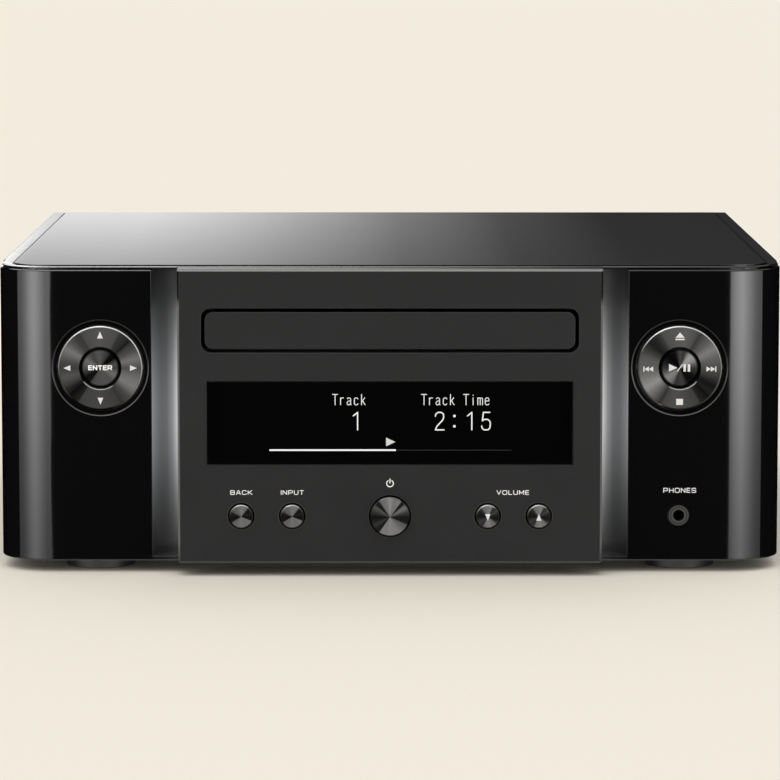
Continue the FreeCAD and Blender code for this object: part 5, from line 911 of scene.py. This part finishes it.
def make_panel_signs(white, bright):
    panel = (flat_at(PANEL_FACE), bright, "root", "panel_grey")
    for text, x, width in PANEL_WORDS:
        word("word_" + text, text.upper(), x, PANEL_WORD_Z, width, *panel)
    wing = (flat_at(0.0), bright, "root", "gloss_black")
    word("word_phones", "PHONES", RING_X + 0.35, (28.95, 30.7), 11.8, *wing)
    arc = [around(0, POWER_SIGN_Z, POWER_SIGN_R, 125 + 14.5 * i) for i in range(21)]
    bar = [(0, POWER_SIGN_Z + 0.2), (0, POWER_SIGN_Z + 1.6)]
    printed("sign_power", stroke(arc, POWER_SIGN_LINE) + stroke(bar, POWER_SIGN_LINE), *panel)
    for name, x, angle in (("volume_down", SMALL_X[0], 270), ("volume_up", SMALL_X[1], 90)):
        cap = cone_at(x, BUTTON_Z, SMALL_R, SMALL_FACE)
        arrow = triangle(x, BUTTON_Z - 0.2, 0.95, 1.2, angle)
        printed("sign_" + name, [arrow], cap, white, name + "_button", "spun_metal", cuts=5)


def make_cursor_signs(white, bright):
    x, z = -RING_X, RING_Z
    for name, angle in (("right", 0), ("up", 90), ("left", 180), ("down", 270)):
        arrow = triangle(*around(x, z, 11.95, angle), 1.03, 1.25, angle)
        printed("sign_" + name, [arrow], flat_at(RING_FACE), white, "cursor_ring", "spun_metal")
    enter = cone_at(x, z, CENTRE_R, CENTRE_FACE)
    word("word_enter", "ENTER", x, (73.45, 75.25), 8.6, enter, bright, "enter_button", "spun_metal", cuts=3,
         line=0.4)


def make_playback_signs(white):
    x, z = RING_X, RING_Z
    ring = (flat_at(RING_FACE), white, "playback_ring", "spun_metal")
    eject = [[(x - 1.65, z + 10.95), (x + 1.65, z + 10.95), (x, z + 12.85)],
             rectangle((x - 1.65, x + 1.65), (z + 10.1, z + 10.6))]
    printed("sign_eject", eject, *ring)
    printed("sign_stop", [rectangle((x - 1.23, x + 1.23), (z - 13.3, z - 11.1))], *ring)
    low, high = z - 1.3, z + 0.6
    for name, way in (("next", 1), ("previous", -1)):
        marks = []
        for start in (9.55, 11.1):
            left, tip = x + way * start, x + way * (start + 1.55)
            marks.append([(left, high), (left, low), (tip, z - 0.35)])
        marks.append(rectangle(sorted((x + way * 12.68, x + way * 13.1)), (low, high)))
        printed("sign_" + name, marks, *ring)
    marks = [[(x - 3.9, z + 1.5), (x - 3.9, z - 1.2), (x - 0.9, z + 0.15)],
             rectangle((x + 1.3, x + 2.15), (z - 1.25, z + 1.4)),
             rectangle((x + 2.8, x + 3.7), (z - 1.25, z + 1.4))]
    marks += stroke([(x - 0.85, z - 1.15), (x + 0.75, z + 1.25)], 0.28)
    cap = cone_at(x, z, CENTRE_R, CENTRE_FACE)
    printed("sign_play_pause", marks, cap, white, "play_button", "spun_metal", cuts=5)


def make_signs():
    white = ink("sign_white", (0.78, 0.78, 0.76))
    # The printed words' emission is a painted glow
    bright = ink("word_white", (0.8, 0.8, 0.78), emit=0.33)
    make_panel_signs(white, bright)
    make_cursor_signs(white, bright)
    make_playback_signs(white)


# Stage, in metres


def emitter(name):
    """Light that is held in a card's points."""
    shader = Shader(name)
    shader.tree.nodes.remove(shader.bsdf)
    light = shader.node("ShaderNodeEmission")
    level = shader.node("ShaderNodeAttribute", attribute_name="level")
    shader.link(level.outputs["Fac"], light.inputs["Strength"])
    shader.link(light.outputs[0], shader.out.inputs["Surface"])
    return shader.material


def card(name, columns, levels):
    """A strip of quads between columns of points, with a level of light at each point, that only polished
    surfaces see."""
    mesh = bpy.data.meshes.new(name)
    rows = len(columns[0])
    points = [p for column in columns for p in column]
    faces = []
    for i in range(len(columns) - 1):
        for j in range(rows - 1):
            a = i * rows + j
            faces.append((a, a + rows, a + rows + 1, a + 1))
    mesh.from_pydata(points, [], faces)
    field = mesh.attributes.new("level", "FLOAT", "POINT")
    field.data.foreach_set("value", [v for column in levels for v in column])
    mesh.materials.append(emitter(name + "_light"))
    made = add(name, mesh)
    made.visible_camera = False
    made.visible_diffuse = False
    made.visible_transmission = False
    made.visible_volume_scatter = False
    made.visible_shadow = False


# Softboxes round the front corners: degrees from straight ahead, and level
LEFT_LIGHT = ((4.515, 0.0), (4.53, 2.55), (6.6, 2.55), (13.2, 2.75), (21.8, 4.0), (31, 5.5), (39.8, 6.35),
              (49.4, 5.15), (58.8, 3.2), (69.2, 1.85), (79.4, 1.4), (80, 0.0), (180, 0.0))
RIGHT_LIGHT = ((4.515, 0.0), (4.53, 2.2), (6.6, 2.2), (13.2, 4.9), (21.8, 6.05), (31, 6.85), (39.8, 5.4),
               (49.4, 4.1), (58.8, 2.7), (69, 1.85), (79.4, 1.4), (80, 0.0), (180, 0.0))
SOFTBOX_X = 0.122
SOFTBOX_Y = -0.12
SOFTBOX_R = 1.5
SOFTBOX_TURNS = [0.0, 3.0, 4.515, 4.53, 6.6, 9.0, 11.0] + [13.2 + 2.9 * i for i in range(23)] + [
    79.4, 80.0, 110.0, 145.0, 180.0]
SOFTBOX_HEIGHTS = [-0.6 + 0.05 * i for i in range(35)]
SOFTBOX_TOP = ((0.0, 1.0), (0.12, 1.0), (0.35, 0.15), (0.9, 0.1), (1.1, 0.0))
KEY_HEIGHT = 0.06
LOW_FADE = 0.145              # for each degree below LOW_FADE_FROM
LOW_FADE_FROM = 5.0

# The top's mirror image: millimetres on the plate's edges, and level
PLATE_X = (-300, -200, -150, -139, -137.6, -136.4, -134, -100, -69, -38, 4, 46, 88, 141, 300)
REAR_LIGHT = ((-139, 1.05), (-137.6, 1.05), (-136.4, 1.15), (-130, 1.15), (-101, 1.13), (-69, 0.90),
              (-38, 0.64), (4, 0.31), (46, 0.117), (88, 0.043), (141, 0.04))
FRONT_LIGHT = ((-139, 2.0), (-137.6, 2.0), (-136.4, 0.67), (-87, 0.67), (-60, 0.53), (-33, 0.39),
               (3.6, 0.21), (40, 0.098), (76, 0.05), (141, 0.045))
TOP_CARD_Y = 0.6
TOP_CARD_FAN = 0.13017
REAR_CARD_Z = 0.1457
FRONT_CARD_Z = 0.1737
TOP_CARD_HEIGHTS = (0.112, 0.13, REAR_CARD_Z, 0.155, 0.164, FRONT_CARD_Z, 0.2, 0.24)

OVERHEAD_LIGHT = ((-1.6, 4.5), (-0.35, 4.5), (0.0, 2.8), (0.25, 1.2), (1.0, 1.0))
OVERHEAD_Z = 1.4

FLOOR_HALF = 14.0
FLOOR_END = 28.0
SKY_LIGHT = 0.757
KEY_LIGHT = 1.05
KEY_SPREAD = 70               # degrees, as the two turns and the camera's dip
KEY_TURNS = (38, -18)
CAMERA_AT = (0.0, -1.6607, 0.24117)
CAMERA_DIP = 6.5593
CAMERA_LENS = 196.80


def side_wall(name, way, light):
    """A softbox that curves round a front corner, with a dark part behind it."""
    centre = Vector((way * SOFTBOX_X, SOFTBOX_Y, 0.0))
    columns, levels = [], []
    for turn in SOFTBOX_TURNS:
        angle = math.radians(turn)
        spot = centre + Vector((way * math.sin(angle), -math.cos(angle), 0.0)) * SOFTBOX_R
        column, level = [], []
        for height in SOFTBOX_HEIGHTS:
            column.append((spot.x, spot.y, height))
            rise = math.degrees(math.atan2(height - KEY_HEIGHT, SOFTBOX_R))
            fade = min(1.0, math.exp(LOW_FADE * (rise + LOW_FADE_FROM)))
            level.append(table(turn, light) * fade * table(height, SOFTBOX_TOP))
        columns.append(column)
        levels.append(level)
    card(name, columns, levels)


def top_card():
    """A graded card behind, for the polished top. Its columns fan out as the top's edges do in the camera."""
    columns, levels = [], []
    for plate_x in PLATE_X:
        ends = ((REAR_CARD_Z, table(plate_x, REAR_LIGHT)), (FRONT_CARD_Z, table(plate_x, FRONT_LIGHT)))
        column = []
        for z in TOP_CARD_HEIGHTS:
            spread = 1 + (z - PLATE_Z / 1000) / TOP_CARD_FAN
            column.append((plate_x / 1000 * spread, TOP_CARD_Y, z))
        columns.append(column)
        levels.append([table(z, ends) for z in TOP_CARD_HEIGHTS])
    card("card_behind", columns, levels)


def flat_card(name, corners, level):
    """A card of one level, from columns of points."""
    card(name, corners, [[level] * len(column) for column in corners])


def make_cards():
    """The softboxes, the card behind, a strip above for the rounded top edges, a dark card beside the camera,
    and a dark card in the floor under the object that is painted shade there in polished surfaces."""
    beside = [[(x, -1.63, z) for z in (-0.7, 0.0, 0.35, 0.7)] for x in (-0.42, 0.0, 0.42)]
    flat_card("flag_front", beside, 0.02)
    side_wall("softbox_left", -1, LEFT_LIGHT)
    side_wall("softbox_right", 1, RIGHT_LIGHT)
    top_card()
    above = [[(x, y, OVERHEAD_Z) for y in (-1.5, -0.5, 0.5, 1.5)] for x, _ in OVERHEAD_LIGHT]
    card("card_overhead", above, [[level] * 4 for _, level in OVERHEAD_LIGHT])
    # Painted shade: a dim card in the floor under the object stands for the shade there in polished surfaces
    below = [[(x, y, -0.001) for y in (-0.13, 0.16)] for x in (-0.16, 0.16)]
    flat_card("painted_shade_under", below, 0.03)


def make_floor():
    mesh = bpy.data.meshes.new("floor")
    x, front = FLOOR_HALF, -FLOOR_HALF
    corners = [(-x, front, 0), (x, front, 0), (x, FLOOR_END, 0), (-x, FLOOR_END, 0)]
    mesh.from_pydata(corners, [], [(0, 1, 2, 3)])
    shader = Shader("floor_paper")
    grain = shader.noise(2.0, detail=3.0)
    dark = solid(0.985 * c for c in PAPER[:3])
    shader.finish("Base Color", shader.mix(shader.remap(grain, 0.3, 0.7), dark, PAPER))
    shader.finish("Roughness", 0.9)
    shader.bsdf.inputs["Specular IOR Level"].default_value = 0.0
    mesh.materials.append(shader.material)
    floor = add("floor", mesh)
    floor.visible_glossy = False


def make_world():
    """Paper colour where it is seen, straight or mirrored, and plain white light elsewhere."""
    world = bpy.data.worlds.new("studio")
    bpy.context.scene.world = world
    world.use_nodes = True
    nodes, link = world.node_tree.nodes, world.node_tree.links.new
    nodes.clear()
    out = nodes.new("ShaderNodeOutputWorld")
    mix = nodes.new("ShaderNodeMixShader")
    path = nodes.new("ShaderNodeLightPath")
    seen = path.outputs["Is Camera Ray"]
    for ray in ("Is Glossy Ray", "Is Transmission Ray"):
        either = nodes.new("ShaderNodeMath")
        either.operation = "MAXIMUM"
        link(seen, either.inputs[0])
        link(path.outputs[ray], either.inputs[1])
        seen = either.outputs[0]
    link(seen, mix.inputs[0])
    for socket, colour, strength in ((1, grey(1.0), SKY_LIGHT), (2, PAPER, 1.0)):
        background = nodes.new("ShaderNodeBackground")
        background.inputs["Color"].default_value = colour
        background.inputs["Strength"].default_value = strength
        link(background.outputs[0], mix.inputs[socket])
    link(mix.outputs[0], out.inputs["Surface"])
    world.cycles.sampling_method = "NONE"


def make_lights():
    sun = bpy.data.lights.new("soft_key", "SUN")
    sun.energy = KEY_LIGHT
    sun.angle = math.radians(KEY_SPREAD)
    lamp = add("soft_key", sun)
    lamp.rotation_euler = (math.radians(KEY_TURNS[0]), math.radians(KEY_TURNS[1]), 0.0)
    lamp.visible_glossy = False


def make_camera():
    data = bpy.data.cameras.new("camera")
    data.lens = CAMERA_LENS
    data.sensor_width = 36.0
    data.clip_end = 200.0
    data.dof.use_dof = False
    camera = add("camera", data)
    camera.location = CAMERA_AT
    camera.rotation_euler = (math.radians(90 - CAMERA_DIP), 0.0, 0.0)
    bpy.context.scene.camera = camera


make_camera()
make_world()
make_lights()
make_floor()
make_cards()
dress_nodes()
make_display()
make_signs()
bpy.context.scene.view_settings.view_transform = "Standard"
